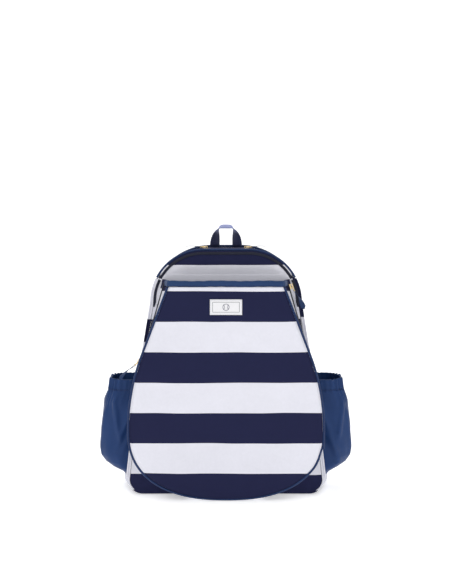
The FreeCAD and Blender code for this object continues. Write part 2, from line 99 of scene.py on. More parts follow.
def run_along(path):
    """Distance from the start of a path to each of its points."""
    return np.concatenate([[0], np.cumsum(np.linalg.norm(np.diff(path, axis=0), axis=1))])


def signed_power(values, power):
    """Values to a power with their signs kept, which turns a circle into a superellipse."""
    return np.sign(values) * np.abs(values) ** power


def whole(half):
    """A right half line from the top down, joined to its mirror image: left, over the top, right."""
    return np.concatenate([half[:0:-1] * MIRROR[:half.shape[1]], half])


def smooth_step(t):
    """0 below 0, 1 above 1, and a smooth rise between."""
    t = np.clip(t, 0, 1)
    return t * t * (3 - 2 * t)


# %% Mesh helpers
def new_object(name, vertices, faces, smooth=True):
    """A mesh object at the origin from points and a list of faces, doubles merged, normals outwards."""
    mesh = bpy.data.meshes.new(name)
    points = np.asarray(vertices, float).reshape(-1, 3)
    mesh.from_pydata(points.tolist(), [], [list(map(int, face)) for face in faces])
    work = bmesh.new()
    work.from_mesh(mesh)
    bmesh.ops.remove_doubles(work, verts=work.verts, dist=1e-6)
    bmesh.ops.dissolve_degenerate(work, edges=work.edges, dist=1e-7)
    bmesh.ops.recalc_face_normals(work, faces=work.faces)
    for face in work.faces:
        face.smooth = smooth
    work.to_mesh(mesh)
    work.free()
    obj = bpy.data.objects.new(name, mesh)
    bpy.context.scene.collection.objects.link(obj)
    return obj


def grid_faces(rows, columns, start=0, wrap=False):
    """Quads between the points of a rows x columns grid. wrap joins the last column to the first."""
    i, j = np.meshgrid(np.arange(rows - 1), np.arange(columns if wrap else columns - 1), indexing="ij")
    k = (j + 1) % columns
    quads = join(i * columns + j, i * columns + k, (i + 1) * columns + k, (i + 1) * columns + j)
    return (quads.reshape(-1, 4) + start).tolist()


def shell(name, outer, inner, wrap=False):
    """A closed wall between two grids of the same size: both faces, and a rim along each open side."""
    rows, columns = outer.shape[:2]
    n = rows * columns
    faces = grid_faces(rows, columns, 0, wrap) + grid_faces(rows, columns, n, wrap)
    span = columns if wrap else columns - 1
    for row in (0, rows - 1):
        a = row * columns + np.arange(span)
        b = row * columns + (np.arange(span) + 1) % columns
        faces += join(a, b, b + n, a + n).tolist()
    if not wrap:
        for column in (0, columns - 1):
            a = np.arange(rows - 1) * columns + column
            faces += join(a, a + columns, a + columns + n, a + n).tolist()
    return new_object(name, np.concatenate([outer.reshape(-1, 3), inner.reshape(-1, 3)]), faces)


def ripple(points, size, height, seed):
    """Smooth cloth unevenness: the sum of eight sine waves in directions drawn once from a seed."""
    rng = np.random.default_rng(seed)
    total = np.zeros(points.shape[:-1])
    for _ in range(8):
        direction = rng.normal(size=3)
        direction /= np.linalg.norm(direction) * size * rng.uniform(0.7, 1.5)
        total += np.sin(points @ direction * 2 * math.pi + rng.uniform(0, 2 * math.pi))
    return total * height / 4


def tube(name, path, radius, closed=False, sides=10, wave=0.0, period=0.002):
    """A round cord along an (n, 3) path. Its radius swells by wave, once every period along it."""
    path = np.asarray(path, float)
    ahead = np.roll(path, -1, 0) - np.roll(path, 1, 0) if closed else np.gradient(path, axis=0)
    ahead = unit(ahead)
    guide = np.where(np.abs(ahead[:, 1:2]) > 0.9, [[1.0, 0, 0]], [[0, 1.0, 0]])
    side = unit(np.cross(ahead, guide))
    up = np.cross(side, ahead)
    run = run_along(path)
    reach = radius + wave * np.sin(run / period * 2 * math.pi)
    angle = np.linspace(0, 2 * math.pi, sides, endpoint=False)
    ring = np.cos(angle)[None, :, None] * side[:, None] + np.sin(angle)[None, :, None] * up[:, None]
    points = path[:, None] + ring * reach[:, None, None]
    faces = grid_faces(len(path), sides, 0, True)
    if closed:
        a = (len(path) - 1) * sides + np.arange(sides)
        b = (len(path) - 1) * sides + (np.arange(sides) + 1) % sides
        faces += join(a, b, b % sides, a % sides).tolist()
    else:
        faces += [list(range(sides)), list(range((len(path) - 1) * sides, len(path) * sides))]
    return new_object(name, points, faces)


def strip(name, centre, across, out, thick):
    """A flat band: half-width vectors across, outward unit vectors out, and a thickness, at each centre."""
    t = np.linspace(-1, 1, 7)
    crown = 0.5 + 0.5 * np.sqrt(np.clip(1 - t ** 6, 0, 1))
    middle = centre[:, None] + across[:, None] * t[None, :, None]
    lift = out[:, None] * (thick / 2 * crown)[None, :, None]
    return shell(name, middle + lift, middle - lift)


def set_run(obj, along, across=None):
    """Stores how far each vertex is along the piece, in metres, for patterns that follow the cloth."""
    attribute = obj.data.attributes.new("run", "FLOAT", "POINT")
    attribute.data.foreach_set("value", np.asarray(along, np.float32))
    if across is not None:
        other = obj.data.attributes.new("across", "FLOAT", "POINT")
        other.data.foreach_set("value", np.asarray(across, np.float32))


def points_of(obj):
    """The vertices of a mesh as an (n, 3) array."""
    flat = np.zeros(len(obj.data.vertices) * 3, np.float32)
    obj.data.vertices.foreach_get("co", flat)
    return flat.reshape(-1, 3).astype(float)


def nearest_run(obj, path):
    """For each vertex, the distance along a path to the path's nearest point."""
    run = run_along(path)
    points = points_of(obj)
    found = np.zeros(len(points))
    for start in range(0, len(points), 4000):
        block = points[start:start + 4000]
        found[start:start + 4000] = run[((block[:, None] - path[None]) ** 2).sum(-1).argmin(1)]
    return found


def finish_piece(obj, body, material, slot, *nodes):
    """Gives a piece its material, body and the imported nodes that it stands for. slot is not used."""
    obj.data.materials.clear()
    obj.data.materials.append(material)
    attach(obj, body)
    if nodes:
        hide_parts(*nodes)
    print(obj.name, len(obj.data.polygons), "faces, on", body)
    return obj


def bend_piece(obj, bodies, start, end, material, slot, *nodes):
    """For a piece that crosses a joint: gives it its material and the imported nodes that it stands for,
    bakes its placement into its mesh, and puts it on no body; it does not bend.
    """
    obj.data.materials.clear()
    obj.data.materials.append(material)
    if nodes:
        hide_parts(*nodes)
    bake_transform(obj)
    print(obj.name, len(obj.data.polygons), "faces, bends from", *bodies)


# %% Floor and lamps
def sweep():
    """Floor that turns up into a wall: y and z follow a straight run, a quarter circle and a rise."""
    bend, depth, high, wide = 1.6, 3.2, 6.0, 9.0
    turn = np.linspace(0, math.pi / 2, 24)
    y = np.concatenate([[-6.0, depth], depth + bend * np.sin(turn), [depth + bend]])
    z = np.concatenate([[0.0, 0.0], bend * (1 - np.cos(turn)), [high]])
    left = join(-wide, y, z)
    right = left * [-1, 1, 1]
    floor = new_object("studio_floor", np.stack([left, right], 1), grid_faces(len(y), 2))
    return floor


def lamp(name, place, aim, size, power):
    data = bpy.data.lights.new(name, "AREA")
    data.shape, data.size, data.energy = "DISK", size, power
    obj = bpy.data.objects.new(name, data)
    obj.location = place
    obj.rotation_euler = (Vector(aim) - Vector(place)).to_track_quat("-Z", "Y").to_euler()
    bpy.context.scene.collection.objects.link(obj)


floor = sweep()
MIDDLE_OF_BAG = (0, 0, 0.22)
lamp("key_lamp", (-1.5, -2.3, 2.2), MIDDLE_OF_BAG, 1.8, 24)
lamp("fill_lamp", (1.9, -2.0, 1.4), MIDDLE_OF_BAG, 2.0, 12)
lamp("top_lamp", (0.0, 0.5, 2.4), MIDDLE_OF_BAG, 1.8, 13)
world = bpy.data.worlds.new("studio")
bpy.context.scene.world = world
world.use_nodes = True
world.node_tree.nodes["Background"].inputs["Color"].default_value = (1, 1, 1, 1)
world.node_tree.nodes["Background"].inputs["Strength"].default_value = 0.50
print("floor and lamps placed")

# %% [markdown]
# ## Finishes
# Every cloth is built from the same few effects, kept as node groups: a weave that raises the surface, a
# soft mottle that varies colour and roughness, stripes, and a coarse crease. Each material then sets its
# own scale. Patterns read Object coordinates, because a piece's place is in its mesh.


# %% Node group tools
def group(name, inputs, outputs, build):
    """A shader node group. inputs and outputs are (name, socket type, default), and build wires it."""
    tree = bpy.data.node_groups.new(name, "ShaderNodeTree")
    for label, kind, default in inputs:
        socket = tree.interface.new_socket(name=label, in_out="INPUT", socket_type=kind)
        if default is not None:
            socket.default_value = default
    for label, kind in outputs:
        tree.interface.new_socket(name=label, in_out="OUTPUT", socket_type=kind)
    build(tree, tree.nodes.new("NodeGroupInput"), tree.nodes.new("NodeGroupOutput"))
    return tree


def feed(tree, socket, item):
    """Sets a socket to a number or a colour, or links another socket to it."""
    if isinstance(item, (int, float, tuple)):
        socket.default_value = item
    else:
        tree.links.new(item, socket)


def value_node(tree, operation, a, b=None, clamp=False):
    """A Math node. a and b are numbers or sockets."""
    node = tree.nodes.new("ShaderNodeMath")
    node.operation, node.use_clamp = operation, clamp
    for socket, item in zip(node.inputs, (a, b)):
        if item is not None:
            feed(tree, socket, item)
    return node.outputs[0]


def noise_node(tree, vector, scale, detail=3.0):
    node = tree.nodes.new("ShaderNodeTexNoise")
    tree.links.new(vector, node.inputs["Vector"])
    feed(tree, node.inputs["Scale"], scale)
    node.inputs["Detail"].default_value = detail
    return node.outputs[0]


def mix_colour(tree, mask, a, b):
    node = tree.nodes.new("ShaderNodeMix")
    node.data_type = "RGBA"
    tree.links.new(mask, node.inputs[0])
    feed(tree, node.inputs[6], a)
    feed(tree, node.inputs[7], b)
    return node.outputs[2]


# %% The shared effects
def build_weave(tree, given, out):
    """Crossing threads: the larger of two sets of ridges, each broken along its length by the other."""
    split = tree.nodes.new("ShaderNodeSeparateXYZ")
    tree.links.new(given.outputs["Vector"], split.inputs[0])
    turns = value_node(tree, "MULTIPLY", given.outputs["Threads"], 2 * math.pi)
    flat = value_node(tree, "ADD", split.outputs[0], split.outputs[1])
    warp = value_node(tree, "SINE", value_node(tree, "MULTIPLY", flat, turns))
    weft = value_node(tree, "SINE", value_node(tree, "MULTIPLY", split.outputs[2], turns))
    height = value_node(tree, "ABSOLUTE", value_node(tree, "ADD", warp, weft))
    tree.links.new(value_node(tree, "MULTIPLY", height, 0.5), out.inputs["Height"])


def build_mottle(tree, given, out):
    """Slow and quick noise together, centred on one, to vary a colour or a roughness a little."""
    slow = noise_node(tree, given.outputs["Vector"], given.outputs["Scale"], 4.0)
    finer = value_node(tree, "MULTIPLY", given.outputs["Scale"], 9.0)
    quick = noise_node(tree, given.outputs["Vector"], finer)
    both = value_node(tree, "SUBTRACT", value_node(tree, "ADD", slow, quick), 1.0)
    spread = value_node(tree, "MULTIPLY", both, given.outputs["Amount"])
    tree.links.new(value_node(tree, "ADD", spread, 1.0), out.inputs["Factor"])


def build_stripes(tree, given, out):
    """White where a whole number of pitches from the offset is even, with a slightly uneven edge."""
    waver = value_node(tree, "SUBTRACT", noise_node(tree, given.outputs["Vector"], 9.0, 1.0), 0.5)
    uneven = value_node(tree, "MULTIPLY", waver, given.outputs["Waver"])
    place = value_node(tree, "ADD", given.outputs["Along"], uneven)
    steps = value_node(tree, "DIVIDE", value_node(tree, "SUBTRACT", place, given.outputs["Offset"]),
                       given.outputs["Pitch"])
    half = value_node(tree, "FRACT", value_node(tree, "MULTIPLY", steps, 0.5))
    tree.links.new(value_node(tree, "LESS_THAN", half, 0.5), out.inputs["White"])


FLOAT, VECTOR = "NodeSocketFloat", "NodeSocketVector"
WEAVE = group("weave", [("Vector", VECTOR, None), ("Threads", FLOAT, 900.0)], [("Height", FLOAT)],
              build_weave)
MOTTLE = group("mottle", [("Vector", VECTOR, None), ("Scale", FLOAT, 20.0), ("Amount", FLOAT, 0.2)],
               [("Factor", FLOAT)], build_mottle)
STRIPES = group("stripes", [("Vector", VECTOR, None), ("Along", FLOAT, 0.0), ("Offset", FLOAT, 0.0),
                            ("Pitch", FLOAT, 0.054), ("Waver", FLOAT, 0.003)],
                [("White", FLOAT)], build_stripes)


def use(tree, shared, vector, **values):
    """Places a shared effect in a material with its own values, which are numbers or sockets."""
    node = tree.nodes.new("ShaderNodeGroup")
    node.node_tree = shared
    tree.links.new(vector, node.inputs["Vector"])
    for label, item in values.items():
        feed(tree, node.inputs[label], item)
    return node.outputs[0]


def raise_surface(tree, shader, *layers):
    """Chains Bump nodes: each layer is (height socket, distance in metres, strength)."""
    last = None
    for height, distance, strength in layers:
        bump = tree.nodes.new("ShaderNodeBump")
        bump.inputs["Distance"].default_value = distance
        bump.inputs["Strength"].default_value = strength
        tree.links.new(height, bump.inputs["Height"])
        if last is not None:
            tree.links.new(last, bump.inputs["Normal"])
        last = bump.outputs[0]
    tree.links.new(last, shader.inputs["Normal"])


# %% Cloth, striped cloth, metal and moulded finishes
NAVY = (0.0136, 0.0158, 0.0530, 1)
WHITE = (0.73, 0.73, 0.80, 1)
BLUE = (0.0099, 0.038, 0.137, 1)
BAND_BLUE = (0.0120, 0.040, 0.125, 1)
PIPE_BLUE = (0.0125, 0.030, 0.098, 1)


def start_material(name, roughness, sheen=0.0, metallic=0.0, shine=0.5):
    material = bpy.data.materials.new(name)
    material.use_nodes = True
    tree = material.node_tree
    shader = tree.nodes["Principled BSDF"]
    shader.inputs["Roughness"].default_value = roughness
    shader.inputs["Sheen Weight"].default_value = sheen
    shader.inputs["Sheen Roughness"].default_value = 0.4
    shader.inputs["Metallic"].default_value = metallic
    shader.inputs["Specular IOR Level"].default_value = shine
    vector = tree.nodes.new("ShaderNodeTexCoord").outputs["Object"]
    return material, tree, shader, vector


def tint(tree, shader, vector, colour, scale, amount, roughness):
    """Base colour and roughness, each varied by the shared mottle."""
    factor = use(tree, MOTTLE, vector, Scale=scale, Amount=amount)
    multiply = tree.nodes.new("ShaderNodeVectorMath")
    multiply.operation = "SCALE"
    feed(tree, multiply.inputs[0], colour[:3] if isinstance(colour, tuple) else colour)
    tree.links.new(factor, multiply.inputs["Scale"])
    tree.links.new(multiply.outputs[0], shader.inputs["Base Color"])
    rough = value_node(tree, "MULTIPLY", factor, roughness, clamp=True)
    tree.links.new(rough, shader.inputs["Roughness"])


def cloth(name, colour, roughness=0.75, threads=900.0, weave=0.00012, crease=0.0, sheen=0.04, amount=0.16):
    """Plain cloth: mottled colour, a weave, and slow creases where it is thin."""
    material, tree, shader, vector = start_material(name, roughness, sheen, shine=0.22)
    tint(tree, shader, vector, colour, 30.0, amount, roughness)
    layers = [(use(tree, WEAVE, vector, Threads=threads), weave, 0.7)]
    if crease:
        layers.insert(0, (noise_node(tree, vector, 26.0, 5.0), crease, 0.5))
    raise_surface(tree, shader, *layers)
    return material


def striped(name, offset, pitch=0.0542, along="z", waver=0.0035):
    """Canvas with wide stripes, across the height or along the cloth's own run."""
    material, tree, shader, vector = start_material(name, 0.8, 0.02, shine=0.12)
    if along == "z":
        split = tree.nodes.new("ShaderNodeSeparateXYZ")
        tree.links.new(vector, split.inputs[0])
        place = split.outputs[2]
    else:
        read = tree.nodes.new("ShaderNodeAttribute")
        read.attribute_name = "run"
        place = read.outputs["Fac"]
    white = use(tree, STRIPES, vector, Along=place, Offset=offset, Pitch=pitch, Waver=waver)
    tint(tree, shader, vector, mix_colour(tree, white, NAVY, WHITE), 22.0, 0.07, 0.8)
    raise_surface(tree, shader, (noise_node(tree, vector, 16.0, 4.0), 0.0022, 0.25),
                  (use(tree, WEAVE, vector, Threads=850.0), 0.00010, 0.6))
    return material


def metal(name, colour, roughness=0.22):
    material, tree, shader, vector = start_material(name, roughness, metallic=1.0)
    tint(tree, shader, vector, colour, 320.0, 0.35, roughness)
    raise_surface(tree, shader, (noise_node(tree, vector, 900.0, 2.0), 0.00005, 0.3))
    return material


def moulded(name, colour, roughness=0.45):
    material, tree, shader, vector = start_material(name, roughness)
    tint(tree, shader, vector, colour, 120.0, 0.25, roughness)
    raise_surface(tree, shader, (noise_node(tree, vector, 1400.0, 2.0), 0.00006, 0.4))
    return material


CANVAS_FRONT = striped("canvas_front", 0.0497, 0.0534)
CANVAS_ARCH = striped("canvas_arch", 0.359)
CANVAS_SIDE = striped("canvas_side", 0.0100, along="run")
CANVAS_GUSSET = striped("canvas_gusset", 0.0220, 0.0530, along="run")
ZIP_CANVAS = striped("zip_canvas", 0.3170, 0.0515)
NAVY_CLOTH = cloth("navy_cloth", NAVY)
BLUE_NYLON = cloth("blue_nylon", BLUE, 0.48, 1500.0, 0.00004, 0.0016, 0.06, 0.14)
BAND_CLOTH = cloth("band_cloth", BAND_BLUE, 0.5, 1500.0, 0.00004, 0.0008, 0.05, 0.12)
PIPING_CLOTH = cloth("piping_cloth", PIPE_BLUE, 0.5, 1500.0, 0.00005, 0.0, 0.04, 0.12)
TAPE_CLOTH = cloth("tape_cloth", (0.016, 0.018, 0.034, 1), 0.7, 1300.0, 0.00012)
COIL_NYLON = moulded("coil_nylon", (0.012, 0.013, 0.024, 1), 0.4)
RIBBON_CLOTH = cloth("ribbon_cloth", (0.0140, 0.034, 0.105, 1), 0.55, 700.0, 0.0002)
WEBBING_CLOTH = cloth("webbing_cloth", (0.030, 0.036, 0.105, 1), 0.7, 520.0, 0.0004)
MESH_CLOTH = cloth("mesh_cloth", (0.020, 0.024, 0.062, 1), 0.85, 330.0, 0.0009)
LINING_CLOTH = cloth("lining_cloth", (0.30, 0.32, 0.38, 1), 0.6, 1300.0, 0.00006, 0.0006)
LABEL_CLOTH = cloth("label_cloth", (0.80, 0.80, 0.82, 1), 0.5, 1600.0, 0.00006, 0.0, 0.1, 0.05)
THREAD_NAVY = cloth("thread_navy", (0.022, 0.026, 0.085, 1), 0.6, 2500.0, 0.00005)
THREAD_GREY = cloth("thread_grey", (0.12, 0.13, 0.15, 1), 0.6, 2500.0, 0.00005)
THREAD_PALE = cloth("thread_pale", (0.52, 0.54, 0.66, 1), 0.6, 2500.0, 0.00005)
GOLD = metal("light_gold", (0.86, 0.66, 0.36, 1))
BUCKLE = moulded("buckle_acetal", (0.014, 0.015, 0.022, 1))
BOARD = moulded("board_plastic", (0.10, 0.10, 0.10, 1), 0.6)


# Height where the carrying loop's painted highlight starts, and how fast it brightens upwards
LOOP_HIGHLIGHT_FROM, LOOP_HIGHLIGHT_RATE = 0.466, 80.0


def loop_cloth():
    """Webbing with a painted highlight on its top: lighter up a ramp in height, over the webbing's own weave.
    """
    material, tree, shader, vector = start_material("loop_cloth", 0.7, 0.04, shine=0.22)
    split = tree.nodes.new("ShaderNodeSeparateXYZ")
    tree.links.new(vector, split.inputs[0])
    above = value_node(tree, "SUBTRACT", split.outputs[2], LOOP_HIGHLIGHT_FROM)
    mask = value_node(tree, "MULTIPLY", above, LOOP_HIGHLIGHT_RATE, clamp=True)
    # the second colour is a painted highlight: pale blue where light catches the loop's top
    colour = mix_colour(tree, mask, (0.030, 0.036, 0.095, 1), (0.30, 0.34, 0.60, 1))
    tint(tree, shader, vector, colour, 30.0, 0.16, 0.7)
    raise_surface(tree, shader, (use(tree, WEAVE, vector, Threads=520.0), 0.0004, 0.7))
    return material


LOOP_CLOTH = loop_cloth()
floor_material, floor_tree, floor_shader, floor_vector = start_material("studio_paper", 0.9)
tint(floor_tree, floor_shader, floor_vector, (1.0, 1.0, 1.0, 1), 3.0, 0.01, 0.9)
floor_shader.inputs["Emission Color"].default_value = (1, 1, 1, 1)
floor_shader.inputs["Emission Strength"].default_value = 0.45
floor.data.materials.append(floor_material)
print(len(bpy.data.materials), "finishes,", len(bpy.data.node_groups), "shared effects")

# %% [markdown]
# ## The shapes that the bag is cut to
# The body is an arch that widens downwards: a flat top, two round shoulders, two straight runs and two
# small corners. It is known at the front, middle and back, and is blended between. The racket pocket is
# another outline: straight above, round at its widest, and a superellipse below.

# %% Body outline
MM = 0.001
FRONT = dict(y=-58, side=131, radius=90, arch_z=348, waist=156, hip=176, corner=26, base=1.5)
MIDDLE = dict(y=0, side=138, radius=111, arch_z=328, waist=163, hip=187, corner=20, base=0)
BACK = dict(y=62, side=139, radius=112, arch_z=329, waist=163, hip=192, corner=22, base=0)
WAIST_Z = 196


def half_outline(s):
    """Right half from top centre to base centre, as (n, 2) of x and z in metres: a line, a quarter
    circle, two lines, a quarter circle and a line, each with a fixed number of points."""
    flat, hip = s["side"] - s["radius"], s["hip"]
    turn = np.linspace(0, math.pi / 2, 48)
    parts = [join(np.linspace(0, flat, 10), s["arch_z"] + s["radius"]),
             join(flat + s["radius"] * np.sin(turn), s["arch_z"] + s["radius"] * np.cos(turn))]
    for a, b, n in (((s["side"], s["arch_z"]), (s["waist"], WAIST_Z), 36),
                    ((s["waist"], WAIST_Z), (hip, s["base"] + s["corner"]), 40)):
        t = np.linspace(0, 1, n)[:, None]
        parts.append(np.array(a) * (1 - t) + np.array(b) * t)
    c = s["corner"]
    bend = np.linspace(0, math.pi / 2, 14)
    parts.append(join(hip - c + c * np.cos(bend), s["base"] + c - c * np.sin(bend)))
    parts.append(join(np.linspace(hip - c, 0, 30), s["base"]))
    keep = [parts[0]] + [p[1:] for p in parts[1:]]
    return np.concatenate(keep) * MM


def body_points(y):
    """Outline points of the right half at depths y, a (rows, columns) array in metres, and their outward
    directions. Between two known sections a point moves in a straight line."""
    front, middle, back = (half_outline(s) for s in (FRONT, MIDDLE, BACK))
    at = [s["y"] * MM for s in (FRONT, MIDDLE, BACK)]
    ahead = (y <= 0)[..., None]
    t = np.where(ahead[..., 0], (y - at[0]) / (at[1] - at[0]), (y - at[1]) / (at[2] - at[1]))[..., None]
    xz = np.where(ahead, front, middle) * (1 - t) + np.where(ahead, middle, back) * t
    tangent = np.gradient(xz, axis=1)
    tangent[:, 0], tangent[:, -1] = [1, 0], [-1, 0]
    tangent = unit(tangent)
    out = join(-tangent[..., 1], np.zeros_like(y), tangent[..., 0])
    return join(xz[..., 0], y, xz[..., 1]), out


print("body outline has", len(half_outline(BACK)), "points a side")

# %% Racket pocket outline
POCKET_FRONT_Y, POCKET_REAR_Y, POCKET_SPLIT_Y = -0.1006, -0.0584, -0.0810
POCKET_DEEP = POCKET_REAR_Y - POCKET_FRONT_Y
POCKET_REAR = dict(widest=163.0, top=113.0, low=6.0)
POCKET_FRONT = dict(widest=169.4, top=95.0, low=4.8)
WIDEST_Z, POCKET_TOP, SIDE_RADIUS, BOTTOM_POWER = 125.0, 388.0, 371.0, 2.4


def pocket_side(o, z, inset=0.0):
    """Half width at heights z above the widest: an arc, then the straight line that touches it."""
    wide = o["widest"] - inset
    centre = wide - SIDE_RADIUS
    run, rise = o["top"] - inset - centre, POCKET_TOP - WIDEST_Z
    turn = math.atan2(rise, run) - math.acos(SIDE_RADIUS / math.hypot(run, rise))
    meet_x = centre + SIDE_RADIUS * math.cos(turn)
    meet_z = WIDEST_Z + SIDE_RADIUS * math.sin(turn)
    arc = centre + np.sqrt(np.maximum(SIDE_RADIUS ** 2 - (z - WIDEST_Z) ** 2, 0))
    return np.where(z > meet_z, meet_x - (z - meet_z) * math.tan(turn), arc)


def pocket_path(o, top, bottom=None, inset=0.0, side_points=70, round_points=90):
    """Points (x, z) in metres from the top left, down and round to the top right. With a bottom, only
    the left side from top down to that height."""
    low = WIDEST_Z if bottom is None else bottom
    z = np.linspace(top, low, side_points)
    left = join(-pocket_side(o, z, inset), z)
    if bottom is not None:
        return left * MM
    wide, deep = o["widest"] - inset, WIDEST_Z - o["low"] - inset
    angle = np.linspace(0, math.pi, round_points)
    power = 2 / BOTTOM_POWER
    c, s = np.cos(angle), np.sin(angle)
    curve = join(-signed_power(c, power) * wide, WIDEST_Z - np.abs(s) ** power * deep)
    right = left[::-1] * [-1, 1]
    return np.concatenate([left, curve[1:-1], right]) * MM


def outward(path):
    """Unit directions away from the middle of a path that runs left, down and round to the right."""
    t = unit(np.gradient(path, axis=0))
    return join(t[:, 1], -t[:, 0])


print("pocket is", 2 * POCKET_FRONT["widest"], "mm wide at its front")

# %% [markdown]
# ## The body's cloth
# The walls are one wrapped shell: the outline carried from back to front, pushed in and out a little by
# ripples, with its own thickness. Where the arch opens, the wall stops short and leaves room for the
# flap. Stripes on the sides follow the cloth's own run, because the strip was cut before it was bent.

# %% Halves
def both_halves(right):
    """A right half grid (rows, columns, 3) joined to its mirror image, as columns that wrap round."""
    left = right[:, -2:0:-1] * MIRROR
    return np.concatenate([right, left], 1)


# %% Walls
WALL = 0.003
FOLD_Z, RIM_Y = 0.391, -0.0456


def body_wall():
    """Outline x depth, with ripples that fade to nothing at both seams."""
    rows = 44
    middle = half_outline(MIDDLE)
    front_end = np.where(middle[:, 1] > FOLD_Z + 0.001, RIM_Y, FRONT["y"] * MM + 0.0003)
    v = np.linspace(0, 1, rows)[:, None]
    y = BACK["y"] * MM - 0.0003 + (front_end[None] - BACK["y"] * MM) * v
    points, out = body_points(y)
    free = np.sin(np.pi * v)[..., None] ** 0.7
    high = smooth_step((points[..., 2:] - 0.012) / 0.04)
    lift = ripple(points * [1, 1, 0.7], 0.055, 0.0011, 3)[..., None] + 0.0012
    outer = points + out * lift * free * high
    inner = points - out * WALL
    outer[..., 2] = np.maximum(outer[..., 2], 0.0002)
    return shell("body_wall_cloth", both_halves(outer), both_halves(inner), wrap=True)


# Heights where a stripe starts or ends, with its number: even is white. The right side and the front are
# cut in two pieces, and their stripes jump at a seam that a pocket hides.
STRIPE_STARTS = {
    "left": [(-60, -0.9), (8, 0), (84, 1), (125, 2), (167, 3), (222, 4), (276, 5), (317, 6), (394, 7),
             (900, 7.9)],
    "right": [(-60, -0.9), (8, 0), (84, 1), (125, 2), (167, 3), (196, 3.9), (197, 5.1), (262, 6), (317, 7),
              (900, 7.9)],
    "panel": [(-60, -0.9), (37.5, 0), (92, 1), (148, 2), (205, 3), (262, 3.9), (263, 5.1), (317, 6), (394, 7),
              (900, 7.9)]}
STRIPE_FIRST, STRIPE_PITCH = 0.0100, 0.0542


def stripe_run(name, up):
    """Run of a cut piece's cloth at heights up in millimetres: its stripes, stretched to one pitch."""
    at, value = np.array(STRIPE_STARTS[name]).T
    return STRIPE_FIRST + STRIPE_PITCH * np.interp(up, at, value)


def side_run(obj):
    """Run of the side cloth from the floor up: the height, then the length of the shoulder's arc. Each
    side's stripes start where its own cut pieces start, so runs between starts are stretched to one pitch."""
    points = points_of(obj)
    x, z = np.abs(points[:, 0]), points[:, 2]
    centre = (MIDDLE["side"] - MIDDLE["radius"]) * MM, MIDDLE["arch_z"] * MM
    angle = np.arctan2(z - centre[1], np.maximum(x - centre[0], 0))
    up = np.where(z < centre[1], z, centre[1] + MIDDLE["radius"] * MM * np.maximum(angle, 0)) / MM
    run = np.zeros(len(points))
    for name, side in (("left", points[:, 0] < 0), ("right", points[:, 0] >= 0)):
        run[side] = stripe_run(name, up[side])
    return run


wall = body_wall()
set_run(wall, side_run(wall))
finish_piece(wall, "bag", CANVAS_SIDE, "striped_cloth", "side_wall_left", "side_wall_right", "top_wall",
             "base_wall")


# %% Fixed front panel
def panel_half(z):
    """Half width of the front outline at heights z: the outline read sideways."""
    path = half_outline(FRONT)
    keep = path[:, 0] > 0.06
    xs, zs = path[keep, 0][::-1], path[keep, 1][::-1]
    return np.interp(z, zs, xs)


def front_panel():
    """Height x width. It puffs a little, and creases more towards the two lower corners."""
    u = np.linspace(-1, 1, 90)[None]
    z = np.linspace(0.0021, FOLD_Z - 0.0006, 110)[:, None]
    x = u * (panel_half(z) - 0.0035)
    corner = np.clip(1 - z / 0.07, 0, 1) * np.abs(u) ** 3
    flat = join(x, 0, z)
    lift = 0.0012 * (1 - u ** 6) + ripple(flat, 0.045, 0.0006, 8) + ripple(flat, 0.018, 0.0022, 9) * corner
    edge = smooth_step((1 - np.abs(u)) / 0.03) * smooth_step((FOLD_Z - z) / 0.022)
    outer = join(x, FRONT["y"] * MM - np.maximum(lift, -0.0008) * edge, z)
    inner = join(x, (FRONT["y"] + 3) * MM, z)
    panel = shell("front_panel_cloth", outer, inner)
    set_run(panel, stripe_run("panel", points_of(panel)[:, 2] / MM))
    return panel


finish_piece(front_panel(), "bag", CANVAS_SIDE, "striped_cloth", "front_panel")


# %% Arch that folds down
def arch_flap():
    """A face under the arch, then a rounded edge, then a rim that runs back. Upright lines fill the face."""
    path = half_outline(FRONT)
    path = path[path[:, 1] > FOLD_Z]
    end_x = float(np.interp(-FOLD_Z, -half_outline(FRONT)[:70, 1], half_outline(FRONT)[:70, 0]))
    path = np.concatenate([path, [[end_x, FOLD_Z]]])
    arch = whole(path)
    foot = join(arch[:, 0], FOLD_Z + 0.0006)
    top = np.maximum(arch[:, 1], FOLD_Z + 0.0008)
    v = np.linspace(0, 1, 34)[:, None]
    z = foot[None, :, 1] * (1 - v) + top[None] * v
    x = arch[None, :, 0] + 0 * v
    tall = (top - FOLD_Z) / (top.max() - FOLD_Z)
    pucker = np.sin(x * 2 * math.pi / 0.031 + 3 * np.sin(x * 22)) * 0.0011 * v ** 2 * tall
    flat = join(x, 0, z)
    lift = 0.0030 * np.sin(np.pi * np.clip(v * 0.9, 0, 1)) * tall + pucker + ripple(flat, 0.05, 0.0007, 5)
    from_edge = np.min(np.hypot(x[..., None] - arch[:, 0], z[..., None] - arch[:, 1]), axis=-1)
    margin = smooth_step((from_edge - 0.0075) / 0.012) * smooth_step((z - FOLD_Z) / 0.022)
    y = FRONT["y"] * MM - lift * margin
    face = join(x, y, z)
    back = np.linspace(0, 1, 9)[1:, None]
    rim = join(x[:1] * (1 + 0.008 * back), FRONT["y"] * MM + 0.012 * back + 0 * x[:1],
                    top[None] + 0.0012 * back)
    outer = np.concatenate([face, rim])
    inner_face = face.copy()
    inner_face[..., 1] = (FRONT["y"] + 3) * MM
    squeeze = (1 - 0.0028 / np.maximum(np.abs(x[:1]), 0.03))
    inner_face[..., 0] *= squeeze
    inner_face[..., 2] = np.minimum(inner_face[..., 2], np.maximum(top - 0.003, foot[:, 1] + 0.0001)[None])
    inner_rim = rim.copy()
    inner_rim[..., 0] *= squeeze
    inner_rim[..., 2] = np.maximum(inner_rim[..., 2] - 0.003, foot[None, :, 1] + 0.0001)
    return shell("arch_flap_cloth", outer, np.concatenate([inner_face, inner_rim]))


finish_piece(arch_flap(), "top_flap", CANVAS_ARCH, "striped_cloth", "top_flap")


